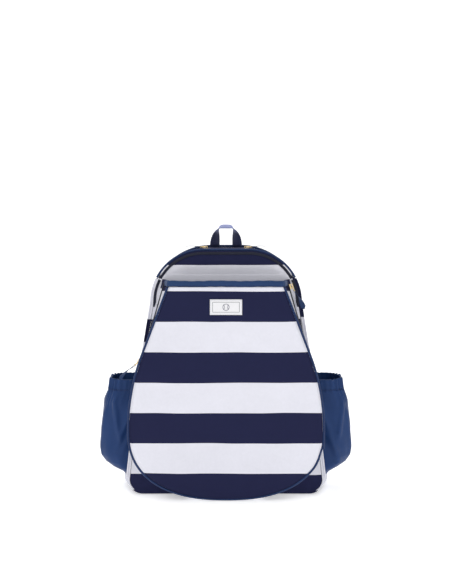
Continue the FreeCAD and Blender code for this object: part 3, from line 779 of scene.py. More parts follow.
def fold_cover():
    """Strip of cloth across the arch's fold, over the join between the face below and the flap above."""
    reach = 0.007
    half = float(panel_half(np.array([FOLD_Z]))[0]) - 0.004
    x = np.linspace(-half, half, 120)[None]
    z = np.linspace(FOLD_Z - reach, FOLD_Z + reach, 14)[:, None]
    edge = smooth_step((reach - np.abs(z - FOLD_Z)) / 0.003)
    y = FRONT["y"] * MM - 0.0006 * edge + 0 * x
    outer = join(x, y, z)
    cover = shell("arch_fold_cover", outer, outer + [0, 0.0009, 0])
    bend_piece(cover, ("bag", "top_flap"), (0, FRONT["y"] * MM, FOLD_Z - 0.004),
               (0, FRONT["y"] * MM, FOLD_Z + 0.004), CANVAS_ARCH, "striped_cloth")


fold_cover()


# %% [markdown]
# ## Zips, their tape and coil
# A coil zip is a nylon spiral sewn to a woven tape. The tape is already the right shape, so it keeps its
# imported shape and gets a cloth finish. The coil is a cord whose radius swells at each turn.

# %% Tape and coils
def arch_line(y, lift, low):
    """Path over the arch at one depth, from the left end at a height, lifted off the wall."""
    points, out = body_points(np.full((1, len(half_outline(FRONT))), y))
    line = (points + out * lift)[0]
    line = line[line[:, 2] > low]
    return resample(whole(line))


def resample(path, step=0.0006):
    """The same path with points an even step apart."""
    run = run_along(path)
    at = np.linspace(0, run[-1], max(int(run[-1] / step), 4))
    return np.stack([np.interp(at, run, path[:, k]) for k in range(3)], -1)


MAIN_ZIP_Y, RACKET_ZIP_Y = -0.0406, -0.0756
ZIP_LOW, COIL_PERIOD = 0.334, 0.0024
TAPE_LOW, TAPE_HALF, TAPE_INSET = 0.336, 0.0024, 0.0042
main_coil = tube("main_zip_coil", arch_line(MAIN_ZIP_Y, 0.0013, ZIP_LOW), 0.00095, sides=8, wave=0.00022,
                 period=COIL_PERIOD)
finish_piece(main_coil, "bag", COIL_NYLON, "zip_tape")


def arch_tape():
    """Dark facing tape on the front, just inside the arch's edge, that covers the zip's seam."""
    for body, low, high in (("top_flap", FOLD_Z + 0.0002, 1.0), ("bag", TAPE_LOW, FOLD_Z - 0.0002)):
        path = half_outline(FRONT)
        path = path[(path[:, 1] > low) & (path[:, 1] < high)]
        line = join(path[:, 0], (FRONT["y"] - 0.5) * MM, path[:, 1])
        turn = np.gradient(line, axis=0)
        inwards = unit(join(turn[:, 2], 0 * turn[:, 0], -turn[:, 0]))
        if body == "top_flap":
            runs = [(whole(line), whole(inwards), TAPE_HALF)]
        else:
            half = np.minimum(TAPE_HALF, 0.0006 + 0.18 * (line[:, 2:] - low))
            runs = [(line, inwards, half), (line * MIRROR, inwards * MIRROR, half)]
        for k, (run, way, half) in enumerate(runs):
            out = np.tile([0, -1.0, 0], (len(run), 1))
            band = strip("arch_tape_%s_%d" % (body, k), run + way * TAPE_INSET, way * half, out, 0.0016)
            finish_piece(band, body, TAPE_CLOTH, "zip_tape")


arch_tape()


def pocket_xz(z, y):
    """x of the racket pocket's side at heights z and depth y, between its front and its rear outline."""
    t = (POCKET_REAR_Y - y) / POCKET_DEEP
    return (pocket_side(POCKET_REAR, z) * (1 - t) + pocket_side(POCKET_FRONT, z) * t) * MM


for name, k in (("left", -1), ("right", 1)):
    z = np.linspace(212, 383, 300)
    x = pocket_xz(z, RACKET_ZIP_Y) + 0.0016
    coil_path = resample(join(k * x, RACKET_ZIP_Y, z * MM))
    coil = tube("racket_zip_coil_" + name, coil_path, 0.0012, sides=8, wave=0.00025, period=COIL_PERIOD)
    finish_piece(coil, "bag", COIL_NYLON, "zip_tape")


def refinish(material, *nodes):
    """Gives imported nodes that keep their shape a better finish."""
    for node in nodes:
        frame["nodes"][node].data.materials.clear()
        frame["nodes"][node].data.materials.append(material)
    print(material.name, "on", ", ".join(nodes))


refinish(TAPE_CLOTH, "main_zip")
refinish(ZIP_CANVAS, "racket_zip_left", "racket_zip_right")
refinish(PIPING_CLOTH, "back_piping", "top_flap_piping", "racket_pocket_piping", "racket_flap_piping")


def edge_piping(name, k):
    """Piping round the front edge below the arch, cut from the side's own cloth."""
    depth = (FRONT["y"] + 3) * MM
    points, out = body_points(np.full((1, len(half_outline(FRONT))), depth))
    line = (points + out * 0.0020)[0]
    line = resample(line[(line[:, 2] < FOLD_Z - 0.0006) & (line[:, 2] > 0.030)], 0.002)
    piping = tube("front_edge_piping_" + name, line * [k, 1, 1], 0.0019, sides=10)
    set_run(piping, side_run(piping))
    return piping


for name, k in (("left", -1), ("right", 1)):
    finish_piece(edge_piping(name, k), "bag", CANVAS_SIDE, "piping", "front_piping")

# %% [markdown]
# ## Racket pocket
# Its front is one padded panel that folds half way up, made here as one piece that spans the bag and
# the flap. Points run in rows across the outline, closer together where the round bottom turns fast.

# %% Front
PANEL_FRONT, PANEL_BACK, POCKET_FOLD = -0.107, -0.101, 0.209


def pocket_half(z):
    """Half width of the pocket's front at heights z in millimetres, above and below its widest."""
    wide, deep = POCKET_FRONT["widest"], WIDEST_Z - POCKET_FRONT["low"]
    below = np.clip((WIDEST_Z - z) / deep, 0, 1)
    round_part = wide * (1 - below ** BOTTOM_POWER) ** (1 / BOTTOM_POWER)
    return np.where(z > WIDEST_Z, pocket_side(POCKET_FRONT, z), round_part) * MM


def racket_face():
    low = POCKET_FRONT["low"]
    turn = np.linspace(0, math.pi / 2, 60)
    z = np.concatenate([WIDEST_Z - (WIDEST_Z - low) * np.cos(turn), np.linspace(WIDEST_Z, 377.0, 110)[1:]])
    u = np.sin(np.linspace(-1, 1, 120) * math.pi / 2)[None]
    x = u * pocket_half(z)[:, None]
    z = z[:, None] * MM + 0 * x
    flat = join(x, 0, z)
    inside = smooth_step((1 - np.abs(u)) / 0.045) * smooth_step((z - low * MM) / 0.012)
    crown = 0.0026 * (1 - u ** 4) * np.sin(np.pi * np.clip(z / 0.40, 0, 1)) ** 0.6
    lift = crown + ripple(flat, 0.12, 0.0012, 21) + ripple(flat, 0.045, 0.0004, 22)
    sink = 0.0022 * (1 - smooth_step((1 - np.abs(u)) / 0.03))
    outer = join(x, PANEL_FRONT - lift * inside + sink, z)
    inner = join(x, PANEL_BACK, z)
    face = shell("racket_pocket_face", outer, inner)
    bend_piece(face, ("bag", "racket_flap"), (0, PANEL_FRONT, POCKET_FOLD - 0.012),
               (0, PANEL_FRONT, POCKET_FOLD + 0.012), CANVAS_FRONT, "striped_cloth", "racket_pocket_front",
               "racket_flap")


racket_face()


# %% Gussets
def gusset(name, body, paths, depth, nodes, material, puff=0.0016, seed=31):
    """Cloth between a front path and a rear path, (x, z) each. depth is the share of the way from the
    front to the rear where it starts and ends."""
    near, far = paths
    t = np.linspace(depth[0], depth[1], 22)[:, None]
    xz = near[None] * (1 - t[..., None]) + far[None] * t[..., None]
    y = POCKET_FRONT_Y + POCKET_DEEP * t + 0 * xz[..., 0]
    points = join(xz[..., 0], y, xz[..., 1])
    way = outward(near)
    out = join(way[:, 0], 0 * way[:, 0], way[:, 1])[None]
    share = (t - depth[0]) / (depth[1] - depth[0])
    belly = np.sin(np.pi * share)[..., None]
    lift = (puff + ripple(points, 0.05, puff * 0.5, seed)[..., None]) * belly
    piece = shell(name, points + out * lift, points - out * 0.0022)
    set_run(piece, gusset_run(piece))
    finish_piece(piece, body, material, "striped_cloth", *nodes)
    return piece


def gusset_run(piece):
    """Run of the gusset's strip from the pocket's mouth down either side to the bottom's middle."""
    path = pocket_path(POCKET_FRONT, POCKET_TOP)
    line = join(path[:, 0], -0.08, path[:, 1])
    total = np.linalg.norm(np.diff(line, axis=0), axis=1).sum()
    run = nearest_run(piece, line)
    return np.minimum(run, total - run)


SPLIT_SHARE = (POCKET_SPLIT_Y - POCKET_FRONT_Y) / POCKET_DEEP
gusset("racket_gusset_cloth", "bag", [pocket_path(o, 208.5) for o in (POCKET_FRONT, POCKET_REAR)],
       (0.0, 1.0), ["racket_pocket_gusset"], CANVAS_GUSSET, 0.0032)
for name, k in (("left", 1), ("right", -1)):
    for stem, body, top, depth, node in (
            ("racket_side_cloth_", "bag", 388.0, (SPLIT_SHARE + 0.01, 1.0), "racket_pocket_side_"),
            ("racket_flap_side_cloth_", "racket_flap", 376.9, (0.0, SPLIT_SHARE - 0.01),
             "racket_flap_side_")):
        sides = [pocket_path(o, top, 209.5) * [k, 1] for o in (POCKET_FRONT, POCKET_REAR)]
        if k < 0:
            sides = [s[::-1] for s in sides]
        gusset(stem + name, body, sides, depth, [node + name], CANVAS_GUSSET, 0.0008, 37)


# %% Bars, bands and stitches
def bar(name, centres, a, b, power=2.6, sides=20):
    """A solid bar along a path. Its section is a superellipse with half sizes given by vectors a and b."""
    angle = np.linspace(0, 2 * math.pi, sides, endpoint=False)
    c, s = np.cos(angle), np.sin(angle)
    ca, sa = signed_power(c, 2 / power), signed_power(s, 2 / power)
    points = centres[:, None] + a[:, None] * ca[None, :, None] + b[:, None] * sa[None, :, None]
    n = len(centres)
    faces = grid_faces(n, sides, 0, True) + [list(range(sides)), list(range((n - 1) * sides, n * sides))]
    return new_object(name, points, faces)


def stitches(name, body, material, slot, lines, length=0.0030, gap=0.0014, thick=0.00038):
    """Rows of short thread humps. Each is a little eight-sided spindle along its line."""
    vertices, faces = [], []
    t = np.linspace(-1, 1, 5)
    size = np.sqrt(np.clip(1 - t ** 2, 0.04, 1))
    angle = np.linspace(0, 2 * math.pi, 6, endpoint=False)
    step = 0.0005
    for line in lines:
        line = resample(np.asarray(line, float), step)
        run = np.arange(len(line)) * step
        ahead = unit(np.gradient(line, axis=0))
        for start in np.arange(length, run[-1] - length / 2, length + gap):
            k = min(int(start / step), len(line) - 1)
            x = ahead[k]
            guide = np.array([0, 1.0, 0]) if abs(x[1]) < 0.9 else np.array([1.0, 0, 0])
            y = np.cross(x, guide)
            y /= np.linalg.norm(y)
            z = np.cross(x, y)
            ring = np.cos(angle)[:, None] * y + np.sin(angle)[:, None] * z
            points = line[k] + t[:, None, None] * x * length / 2 + ring[None] * (size * thick)[:, None, None]
            base = len(vertices) * 30
            vertices.append(points.reshape(-1, 3))
            faces += grid_faces(5, 6, base, True)
            faces += [[base + i for i in range(6)], [base + 24 + i for i in range(6)]]
    piece = new_object(name, np.concatenate(vertices), faces)
    return finish_piece(piece, body, material, slot)


# %% Top band and label
def top_band():
    """Folded binding along the pocket's mouth and back along both its sides: two straight runs, two
    small quarter circles and a front, a little wavy where it was sewn."""
    low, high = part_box("racket_flap_band")
    middle_y, middle_z = (low.y + high.y) / 2 - 0.0004, (low.z + high.z) / 2
    half, round_r, side_y = high.x - 0.0012, 0.004, -0.0850
    turn = np.linspace(0, math.pi / 2, 10)
    side = np.linspace(side_y, middle_y + round_r, 16)
    spread = (side - middle_y) * 0.30
    left = join(-half - spread, side)
    corner = join(-half + round_r * (1 - np.cos(turn)), middle_y + round_r * (1 - np.sin(turn)))
    front = join(np.linspace(-half + round_r, half - round_r, 150), middle_y)
    right = np.concatenate([left, corner[1:]])[::-1] * [-1, 1]
    path = np.concatenate([left, corner[1:], front[1:-1], right])
    run = run_along(path)
    sag = 0.0004 * np.sin(run * 2 * math.pi / 0.083) + 0.0002 * np.sin(run * 2 * math.pi / 0.021)
    centre = join(path[:, 0], path[:, 1], middle_z + sag)
    ahead = unit(np.gradient(centre, axis=0))
    out = join(ahead[:, 1], -ahead[:, 0], 0 * run)
    squeeze = (1 + 0.05 * np.sin(run * 2 * math.pi / 0.013))[:, None]
    return bar("racket_flap_binding", centre, np.tile([0, 0, (high.z - low.z) / 2], (len(run), 1)),
               out * squeeze * (high.y - low.y) / 2, 3.6, 28)


finish_piece(top_band(), "racket_flap", BAND_CLOTH, "blue_nylon", "racket_flap_band")
band_low, band_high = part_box("racket_flap_band")
stitch_x = np.linspace(band_low.x + 0.004, band_high.x - 0.004, 40)
stitches("binding_stitches", "racket_flap", THREAD_NAVY, "ribbon",
         [join(stitch_x, band_low.y - 0.0007, band_low.z + 0.0016)])


def label():
    """A satin patch with a folded edge, laid on the pocket's crowned front."""
    low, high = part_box("label_patch")
    a, b = np.meshgrid(np.linspace(-1, 1, 40), np.linspace(-1, 1, 24))
    edge = smooth_step((1 - np.maximum(np.abs(a), np.abs(b))) / 0.06)
    x, z = a * (high.x - low.x) / 2, (low.z + high.z) / 2 + b * (high.z - low.z) / 2
    y = LABEL_Y - 0.0006 * edge
    return shell("label_satin", join(x, y, z), join(x, y * 0 + LABEL_Y + 0.003, z))


LABEL_Y = -0.1105
label_low, label_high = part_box("label_patch")
finish_piece(label(), "racket_flap", LABEL_CLOTH, "label", "label_patch")


def rectangle(inset, y):
    """Corners of the label, drawn in by inset, as a closed line."""
    x, z0, z1 = label_high.x - inset, label_low.z + inset, label_high.z - inset
    return np.array([[-x, y, z0], [x, y, z0], [x, y, z1], [-x, y, z1], [-x, y, z0]])


frame_line = tube("label_frame", resample(rectangle(0.0048, LABEL_Y - 0.0006)), 0.00032, sides=6)
finish_piece(frame_line, "racket_flap", THREAD_GREY, "label")
stitches("label_stitches", "racket_flap", THREAD_PALE, "label", [rectangle(0.0014, LABEL_Y - 0.0006)],
         0.0018, 0.0008, 0.00025)
BALL_RADIUS, SEAM_RADIUS, BALL_Y = 0.0055, 0.0052, LABEL_Y - 0.0007
ball_turn = np.linspace(0, 2 * math.pi, 60)
ball_z = (label_low.z + label_high.z) / 2
ball = join(BALL_RADIUS * np.cos(ball_turn), BALL_Y, ball_z + BALL_RADIUS * np.sin(ball_turn))
finish_piece(tube("label_ball", ball, 0.00035, sides=6), "racket_flap", THREAD_NAVY, "label")
for k in (-1, 1):
    seam_turn = np.linspace(-0.9, 0.9, 30)
    seam = join(k * (0.0078 - SEAM_RADIUS * np.cos(seam_turn)), BALL_Y,
                ball_z + SEAM_RADIUS * np.sin(seam_turn))
    finish_piece(tube("label_ball_seam_%d" % (k + 1), seam, 0.0003, sides=6), "racket_flap", THREAD_NAVY,
                 "label")

# %% [markdown]
# ## Bottle pockets
# Each pocket is a loose panel of thin nylon, gathered onto elastic at its mouth. A simulation would
# need the elastic's pull and many steps, so the gathers and folds are written down instead: ridges that
# crowd together at the hem and run into a few long diagonal folds below it.

# %% Pocket cloth
BOTTLE_FRONT_Y, BOTTLE_BACK_Y, BOTTLE_BEND = -0.046, 0.050, 0.030
HEM_LOW, HEM_HIGH = 0.1864, 0.2060
REACH = np.array([(30, 184), (36, 190), (45, 207), (54, 219), (66, 225.5), (80, 227), (112, 226),
                  (165, 221.5), (186, 214.5), (206, 212)]) * MM     # how far out, at each height
FOLDS = [  # start along the run, slope, width, height, lowest and highest z, all in metres
    (0.020, 0.30, 0.0060, 0.0034, 0.060, 0.180), (0.052, -0.22, 0.0050, 0.0028, 0.085, 0.186),
    (0.078, 0.12, 0.0070, 0.0030, 0.045, 0.160), (0.108, -0.30, 0.0060, 0.0026, 0.070, 0.182),
    (0.140, 0.20, 0.0065, 0.0030, 0.050, 0.175), (0.004, 0.55, 0.0070, 0.0030, 0.036, 0.120)]


def bottle_line(z, columns=230):
    """Level section of the right pocket: out from the bag, round a quarter circle, back, round, and in.
    Returns points (rows, columns, 3), outward directions and the run along each row."""
    reach = np.interp(z, REACH[:, 0], REACH[:, 1])
    front, back, bend = BOTTLE_FRONT_Y, BOTTLE_BACK_Y, BOTTLE_BEND
    arm, side, curve = 0.050, back - front - 2 * bend, bend * math.pi / 2
    run = np.linspace(0, 2 * arm + 2 * curve + side, columns)
    a1, a2, a3, a4 = arm, arm + curve, arm + curve + side, arm + 2 * curve + side
    t1, t2 = np.clip((run - a1) / bend, 0, math.pi / 2), np.clip((run - a3) / bend, 0, math.pi / 2)
    shoulder = reach[:, None] - bend
    x = shoulder - np.clip(a1 - run, 0, arm) + bend * np.sin(t1) - bend * (1 - np.cos(t2))
    x = x - np.clip(run - a4, 0, arm)
    y = front + bend * (1 - np.cos(t1)) + np.clip(run - a2, 0, side) + bend * np.sin(t2) + 0 * x
    angle = -math.pi / 2 + t1 + t2
    out = join(np.cos(angle), np.sin(angle), 0 * angle)[None] + 0 * x[..., None]
    return join(x, y, z[:, None] + 0 * x), out, run


def body_side_x(z, y):
    """x of the bag's side wall at heights z and depths y."""
    wide = []
    for s in (FRONT, MIDDLE, BACK):
        path = half_outline(s)[30:-29][::-1]
        wide.append(np.interp(z, path[:, 1], path[:, 0]))
    t = np.clip(y / (FRONT["y"] * MM), 0, 1)
    u = np.clip(y / (BACK["y"] * MM), 0, 1)
    return wide[1] * (1 - t - u) + wide[0] * t + wide[2] * u


def gathers(run, z, strength):
    """Upright puckers: a sine whose spacing drifts, strongest at the hem and gone well below it."""
    phase = run * 2 * math.pi / 0.0078 + 2.2 * np.sin(run * 61) + 1.3 * np.sin(run * 149 + 1)
    size = 0.55 + 0.45 * np.sin(run * 93 + 0.7)
    fade = smooth_step((z - 0.135) / 0.055) ** 1.5
    return strength * np.sin(phase) * size * fade


def folds(run, z, k):
    """Long ridges: each is a bell across a slanted line, faded out at both its ends."""
    total = np.zeros(np.broadcast(run, z).shape)
    for i, (start, slope, wide, high, low, top) in enumerate(FOLDS):
        line = start + 0.018 * (1 + k * 0.3) * (i % 2) + slope * (top - z)
        fade = smooth_step((z - low) / 0.03) * smooth_step((top + 0.01 - z) / 0.03)
        total = total + high * np.exp(-((run - line) / wide) ** 2) * fade
    return total


def bottle_cloth(name, k, z, thick, strength, level):
    """One pocket's cloth or hem: sections at heights z, pushed out by gathers and folds."""
    points, out, run = bottle_line(z)
    grid_run, grid_z = run[None], z[:, None]
    soft = ripple(points, 0.05, 0.0012, 51 + k) * smooth_step((0.206 - grid_z) / 0.05)
    lift = gathers(grid_run, grid_z, strength) + (folds(grid_run, grid_z, k) + soft) * level
    outer = points + out * (lift - 0.0004)[..., None]
    scallop = gathers(grid_run + 0.002, grid_z, 0.0012) * smooth_step((grid_z - 0.196) / 0.01)
    outer[..., 2] += (1 - level) * scallop
    inner = outer - out * thick
    wall_x = body_side_x(points[..., 2], points[..., 1])
    outer[..., 0] = np.maximum(outer[..., 0], wall_x - 0.0014)
    inner[..., 0] = np.maximum(inner[..., 0], wall_x - 0.0026)
    piece = shell(name, outer * [k, 1, 1], inner * [k, 1, 1])
    return piece


for side, k in (("left", -1), ("right", 1)):
    cloth_z = np.concatenate([np.linspace(0.0305, 0.060, 34), np.linspace(0.060, HEM_LOW, 66)[1:]])
    pocket = bottle_cloth("bottle_pocket_cloth_" + side, k, cloth_z, 0.0012, 0.0013, 1.0)
    finish_piece(pocket, "bag", BLUE_NYLON, "blue_nylon", "bottle_pocket_" + side)
    hem_z = np.linspace(HEM_LOW - 0.0008, HEM_HIGH, 22)
    hem = bottle_cloth("bottle_hem_" + side, k, hem_z, 0.0026, 0.0017, 0.0)
    finish_piece(hem, "bag", BLUE_NYLON, "blue_nylon", "bottle_elastic_" + side)
    seam, seam_out, seam_run = bottle_line(np.array([HEM_LOW + 0.0012]))
    seam_lift = gathers(seam_run[None], 0.187, 0.0017)[..., None] + 0.0001
    row = (seam + seam_out * seam_lift)[0] * [k, 1, 1]
    row = row[np.abs(row[:, 0]) > body_side_x(row[:, 2], row[:, 1]) + 0.002]
    stitches("bottle_hem_stitches_" + side, "bag", THREAD_NAVY, "ribbon", [row])

# %% [markdown]
# ## Carrying loop
# One length of flat webbing. Its legs lie face on where they are sewn down, and it turns on edge over the
# top, so it is a band carried along an arch with a direction that turns on the way.

# %% Loop
LOOP_Y, LOOP_Z, LOOP_HIGH = 0.050, 0.4424, 0.0388
WEB_WIDE, WEB_THICK = 0.025, 0.0018


def haul_loop():
    """x falls inwards as z rises: a rounded arch. The band turns from 47 to 104 degrees over the top."""
    t = np.linspace(0.0, 1.0, 90)
    angle = math.pi * t
    c, s = np.cos(angle), np.clip(np.sin(angle), 0, 1)
    half = 0.0208 - 0.0043 * s
    x = -half * signed_power(c, 0.42)
    z = LOOP_Z + (LOOP_HIGH - WEB_THICK) * s ** 0.62
    centre = join(x, LOOP_Y, z)
    ahead = unit(np.gradient(centre, axis=0))
    turn = math.radians(47) + math.radians(57) * s ** 1.6
    flat = join(ahead[:, 2], 0 * x, -ahead[:, 0])
    across = flat * np.cos(turn)[:, None] + np.array([0, 1.0, 0]) * np.sin(turn)[:, None]
    out = np.cross(ahead, across)
    return strip("haul_loop_webbing", centre, across * WEB_WIDE / 2, out, WEB_THICK)


finish_piece(haul_loop(), "haul_loop", LOOP_CLOTH, "webbing", "haul_loop")

# %% [markdown]
# ## Sliders and pulls
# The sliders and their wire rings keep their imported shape, because they are small and exact, and get a
# plated finish. Each ribbon pull is one band: folded round the ring, doubled for a little way, and cut
# to a point.

# %% Ribbon pulls
for kind in ("racket", "main"):
    for side in ("left", "right"):
        refinish(GOLD, kind + "_slider_" + side, kind + "_pull_ring_" + side)

RING_ARM, RIBBON_WIDE, RIBBON_THICK = 0.009, 0.009, 0.0006


def ribbon_pull(name, pivot, along, outwards, lean, twist, long, droop):
    """Band along local X with its width along Y: a doubled stretch, a half circle round the ring's far
    bar, and a run that twists, curls a little and ends in a point."""
    x_way, z_way = np.array(along, float), np.array(outwards, float)
    y_way = np.array([0, 1.0, 0])
    turn = np.linspace(math.pi / 2 + math.pi, math.pi / 2, 16)
    eye = 0.0014

    def layer(x, side, rest):
        settle = np.exp(-(x - RING_ARM) / 0.004)
        curl = 0.0011 * np.sin((x - RING_ARM) * 95) * (1 - settle)
        return join(x, curl + side * (rest + (eye - rest) * settle))

    back = layer(np.linspace(RING_ARM + 0.010, RING_ARM, 14), -1, 0.0005)
    round_ring = join(RING_ARM + eye * np.cos(turn), eye * np.sin(turn))
    front = layer(np.linspace(RING_ARM, RING_ARM + long, 60), 1, 0.0002)[1:]
    line = np.concatenate([back, round_ring[1:-1], front])
    share = np.clip((line[:, 0] - RING_ARM - 0.010) / (long * 0.6), 0, 1)
    share[:len(back) + len(round_ring) - 2] = 0
    angle = np.radians(twist) * smooth_step(share)
    taper = np.clip((RING_ARM + long - line[:, 0]) / 0.0045, 0.12, 1)
    taper[:len(back)] = 1
    lean_turn = math.radians(lean)
    along_way = x_way * math.cos(lean_turn) + z_way * math.sin(lean_turn)
    up_way = z_way * math.cos(lean_turn) - x_way * math.sin(lean_turn)
    centre = np.array(pivot) + line[:, :1] * along_way + line[:, 1:] * up_way
    centre = centre - up_way * droop * np.clip((line[:, :1] - RING_ARM) / long, 0, 1) ** 2
    across = y_way * np.cos(angle)[:, None] + up_way * np.sin(angle)[:, None]
    ahead = unit(np.gradient(centre, axis=0))
    out = np.cross(ahead, across)
    return strip(name, centre, across * (RIBBON_WIDE / 2 * taper)[:, None], out, RIBBON_THICK)


def pull_setting(kind, side):
    """Where a pull hangs from, which way its zip runs, and which way is out."""
    pivot = JOINTS["%s_pull_%s_swing" % (kind, side)]["pos_m"]
    if kind == "main":
        k = 1 if side == "right" else -1
        return pivot, (k, 0, 0), (0, 0, 1)
    along = np.array(JOINTS["racket_slider_%s_run" % side]["axis"], float)
    k = 1 if side == "right" else -1
    return pivot, along, (-along[2] * k, 0, along[0] * k)


PULLS = {("racket", "left"): (32, 40, 0.038, 0.0), ("racket", "right"): (13, 80, 0.038, 0.0),
         ("main", "left"): (4, 0, 0.026, 0.0015), ("main", "right"): (4, 0, 0.026, 0.0015)}
for (kind, side), shape in PULLS.items():
    pivot, along, outwards = pull_setting(kind, side)
    pull = ribbon_pull("%s_ribbon_pull_%s" % (kind, side), pivot, along, outwards, *shape)
    finish_piece(pull, "%s_pull_%s" % (kind, side), RIBBON_CLOTH, "ribbon", "%s_pull_strap_%s" % (kind, side))

# %% [markdown]
# ## Shoulder straps
# A strap is foam in cloth, sewn into the bag's top seam and tapering to webbing. Foam in cloth swells
# between its seams, which is what a cloth simulation with inner pressure does. The pad is one piece from
# the seam on the bag to its lower end.

# %% Padding by simulation
def bake(piece):
    """Replaces the piece's mesh by what its modifiers make of it."""
    depsgraph = bpy.context.evaluated_depsgraph_get()
    mesh = bpy.data.meshes.new_from_object(piece.evaluated_get(depsgraph))
    piece.modifiers.clear()
    piece.data = mesh


def simulate(piece, voxel, cap, pressure=4.0):
    """Remeshes a closed form, blows it up as cloth, and lets no point move further than the cap."""
    remesh = piece.modifiers.new("even_mesh", "REMESH")
    remesh.mode, remesh.voxel_size = "VOXEL", voxel
    bake(piece)
    before = points_of(piece)
    puff = piece.modifiers.new("puff", "CLOTH")
    puff.settings.use_pressure = True
    puff.settings.uniform_pressure_force = pressure
    puff.settings.effector_weights.gravity = 0
    puff.settings.quality = 5
    for step in range(1, 21):
        bpy.context.scene.frame_set(step)
    bake(piece)
    bpy.context.scene.frame_set(1)
    move = points_of(piece) - before
    far = np.maximum(np.linalg.norm(move, axis=1)[:, None], 1e-9)
    reach = cap * np.tanh(far / cap)
    piece.data.vertices.foreach_set("co", (before + move * reach / far).astype(np.float32).ravel())
    print(piece.name, len(before), "points, free swell", round(float(far.mean()) * 1000, 2), "mm, kept",
          round(float(reach.mean()) * 1000, 2), "mean and", round(float(reach.max()) * 1000, 2), "most")
    smooth = piece.modifiers.new("smooth", "SUBSURF")
    smooth.levels = smooth.render_levels = 1
    bake(piece)
    for polygon in piece.data.polygons:
        polygon.use_smooth = True
    return piece


# %% Strap line
STRAP_TOP, STRAP_FOOT = np.array([0.050, 0.070, 0.406]), np.array([0.158, 0.070, 0.038])
STRAP_WIDE = 0.060
PAD_END, STRAP_START_HIGH, STRAP_HIGH = 0.300, 0.0035, 0.0328
SEAM_Y, TAB_Y, TAB_THREAD_Y = 0.0658, 0.0668, 0.0679
STITCH_SIDE, STITCH_LIFT = 0.0215, 0.0062
STRAP_VOXEL, STRAP_CAP = 0.0040, 0.0026
STRAP_LONG = float(np.linalg.norm(STRAP_FOOT - STRAP_TOP))
ALONG = (STRAP_FOOT - STRAP_TOP) / STRAP_LONG
AWAY = np.array([0, 1.0, 0])
ACROSS = np.cross(ALONG, AWAY)


def strap_line(s, lift=0.0):
    """Centres, across directions and outward directions at distances s down the right strap. It bows
    off its swing axis by a sine of the share of its length, raised to powers."""
    def height(at):
        share = np.clip(at / STRAP_LONG, 0, 1)
        rise = np.sin(math.pi * share ** 0.85) ** 0.8
        return STRAP_START_HIGH + (STRAP_HIGH - STRAP_START_HIGH) * rise

    slope = (height(s + 0.001) - height(s - 0.001)) / 0.002
    normal = AWAY[None] - ALONG[None] * slope[:, None]
    normal = unit(normal)
    centre = STRAP_TOP + ALONG * s[:, None] + AWAY * height(s)[:, None] + normal * lift
    return centre, np.tile(ACROSS, (len(s), 1)), normal


def cloth_line(s):
    """The strap's line, brought down onto the bag at its upper seam and at its lower one."""
    centre, across, normal = strap_line(s)
    upper = 1 - smooth_step((s - 0.002) / 0.042)
    lower = smooth_step((s - STRAP_LONG + 0.042) / 0.034)
    for share, y in ((upper, SEAM_Y), (lower, TAB_Y)):
        centre[:, 1] = centre[:, 1] * (1 - share) + y * share
    ahead = np.gradient(centre, axis=0)
    normal = unit(np.cross(across, ahead))
    return centre, across, normal * np.sign(normal[:, 1:2])


def pad_shape(s):
    """Half width and thickness of the pad: narrow at the seam, full, then round at its lower end."""
    grow = smooth_step((s + 0.008) / 0.050)
    end = np.sqrt(np.clip(1 - np.clip((s - (PAD_END - 0.030)) / 0.0305, 0, 1) ** 2, 0.02, 1))
    wide = (0.027 + 0.003 * grow) * (0.55 + 0.45 * end)
    thick = (0.0030 + 0.0038 * grow) * (0.6 + 0.4 * end)
    return wide - 0.001, thick


def strap_piece(name, k):
    straight, end = np.linspace(-0.006, PAD_END - 0.030, 80), np.linspace(PAD_END - 0.030, PAD_END, 14)
    s = np.concatenate([straight, end[1:]])
    centre, across, normal = cloth_line(s)
    wide, thick = pad_shape(s)
    form = bar(name, centre, across * wide[:, None], normal * (thick / 2)[:, None], 3.2, 32)
    return mirrored(form, k)


def mirrored(piece, k):
    """The piece on the left (k = -1) or as it is, with its faces turned to match."""
    if k < 0:
        points = points_of(piece) * [-1, 1, 1]
        piece.data.vertices.foreach_set("co", points.astype(np.float32).ravel())
        piece.data.flip_normals()
    return piece


def on_strap(s, k):
    """A point on the strap's own line, as a plain tuple."""
    return tuple(float(v) for v in strap_line(np.array([s]))[0][0] * [k, 1, 1])


def half_turn(s, radius):
    """(s, lift) points round a bar of the buckle, from below it, past its upper side, to above it."""
    angle = np.linspace(-math.pi / 2, -3 * math.pi / 2, 14)
    return [(s + radius * math.cos(a), radius * math.sin(a)) for a in angle]


# The buckle's bars are crossed at these distances. The loop holds its upper bar, and the webbing comes
# up behind it, turns over its middle bar and leaves in front, where it becomes the free tail.
LOCK_BAR, LOCK_MIDDLE, LOCK_TURN = PAD_END + 0.0037, PAD_END + 0.0153, 0.0031
LOCK_LOOP = [(PAD_END - 0.012, -0.0030),
             *[(2 * LOCK_BAR - a, b) for a, b in half_turn(LOCK_BAR, LOCK_TURN)], (PAD_END - 0.012, 0.0030)]
LOCK_WEB = [(STRAP_LONG + 0.014, 0), (STRAP_LONG - 0.010, 0), (PAD_END + 0.045, 0),
            (PAD_END + 0.032, -0.0014), (PAD_END + 0.024, -LOCK_TURN), *half_turn(LOCK_MIDDLE, LOCK_TURN),
            (PAD_END + 0.0226, LOCK_TURN)]


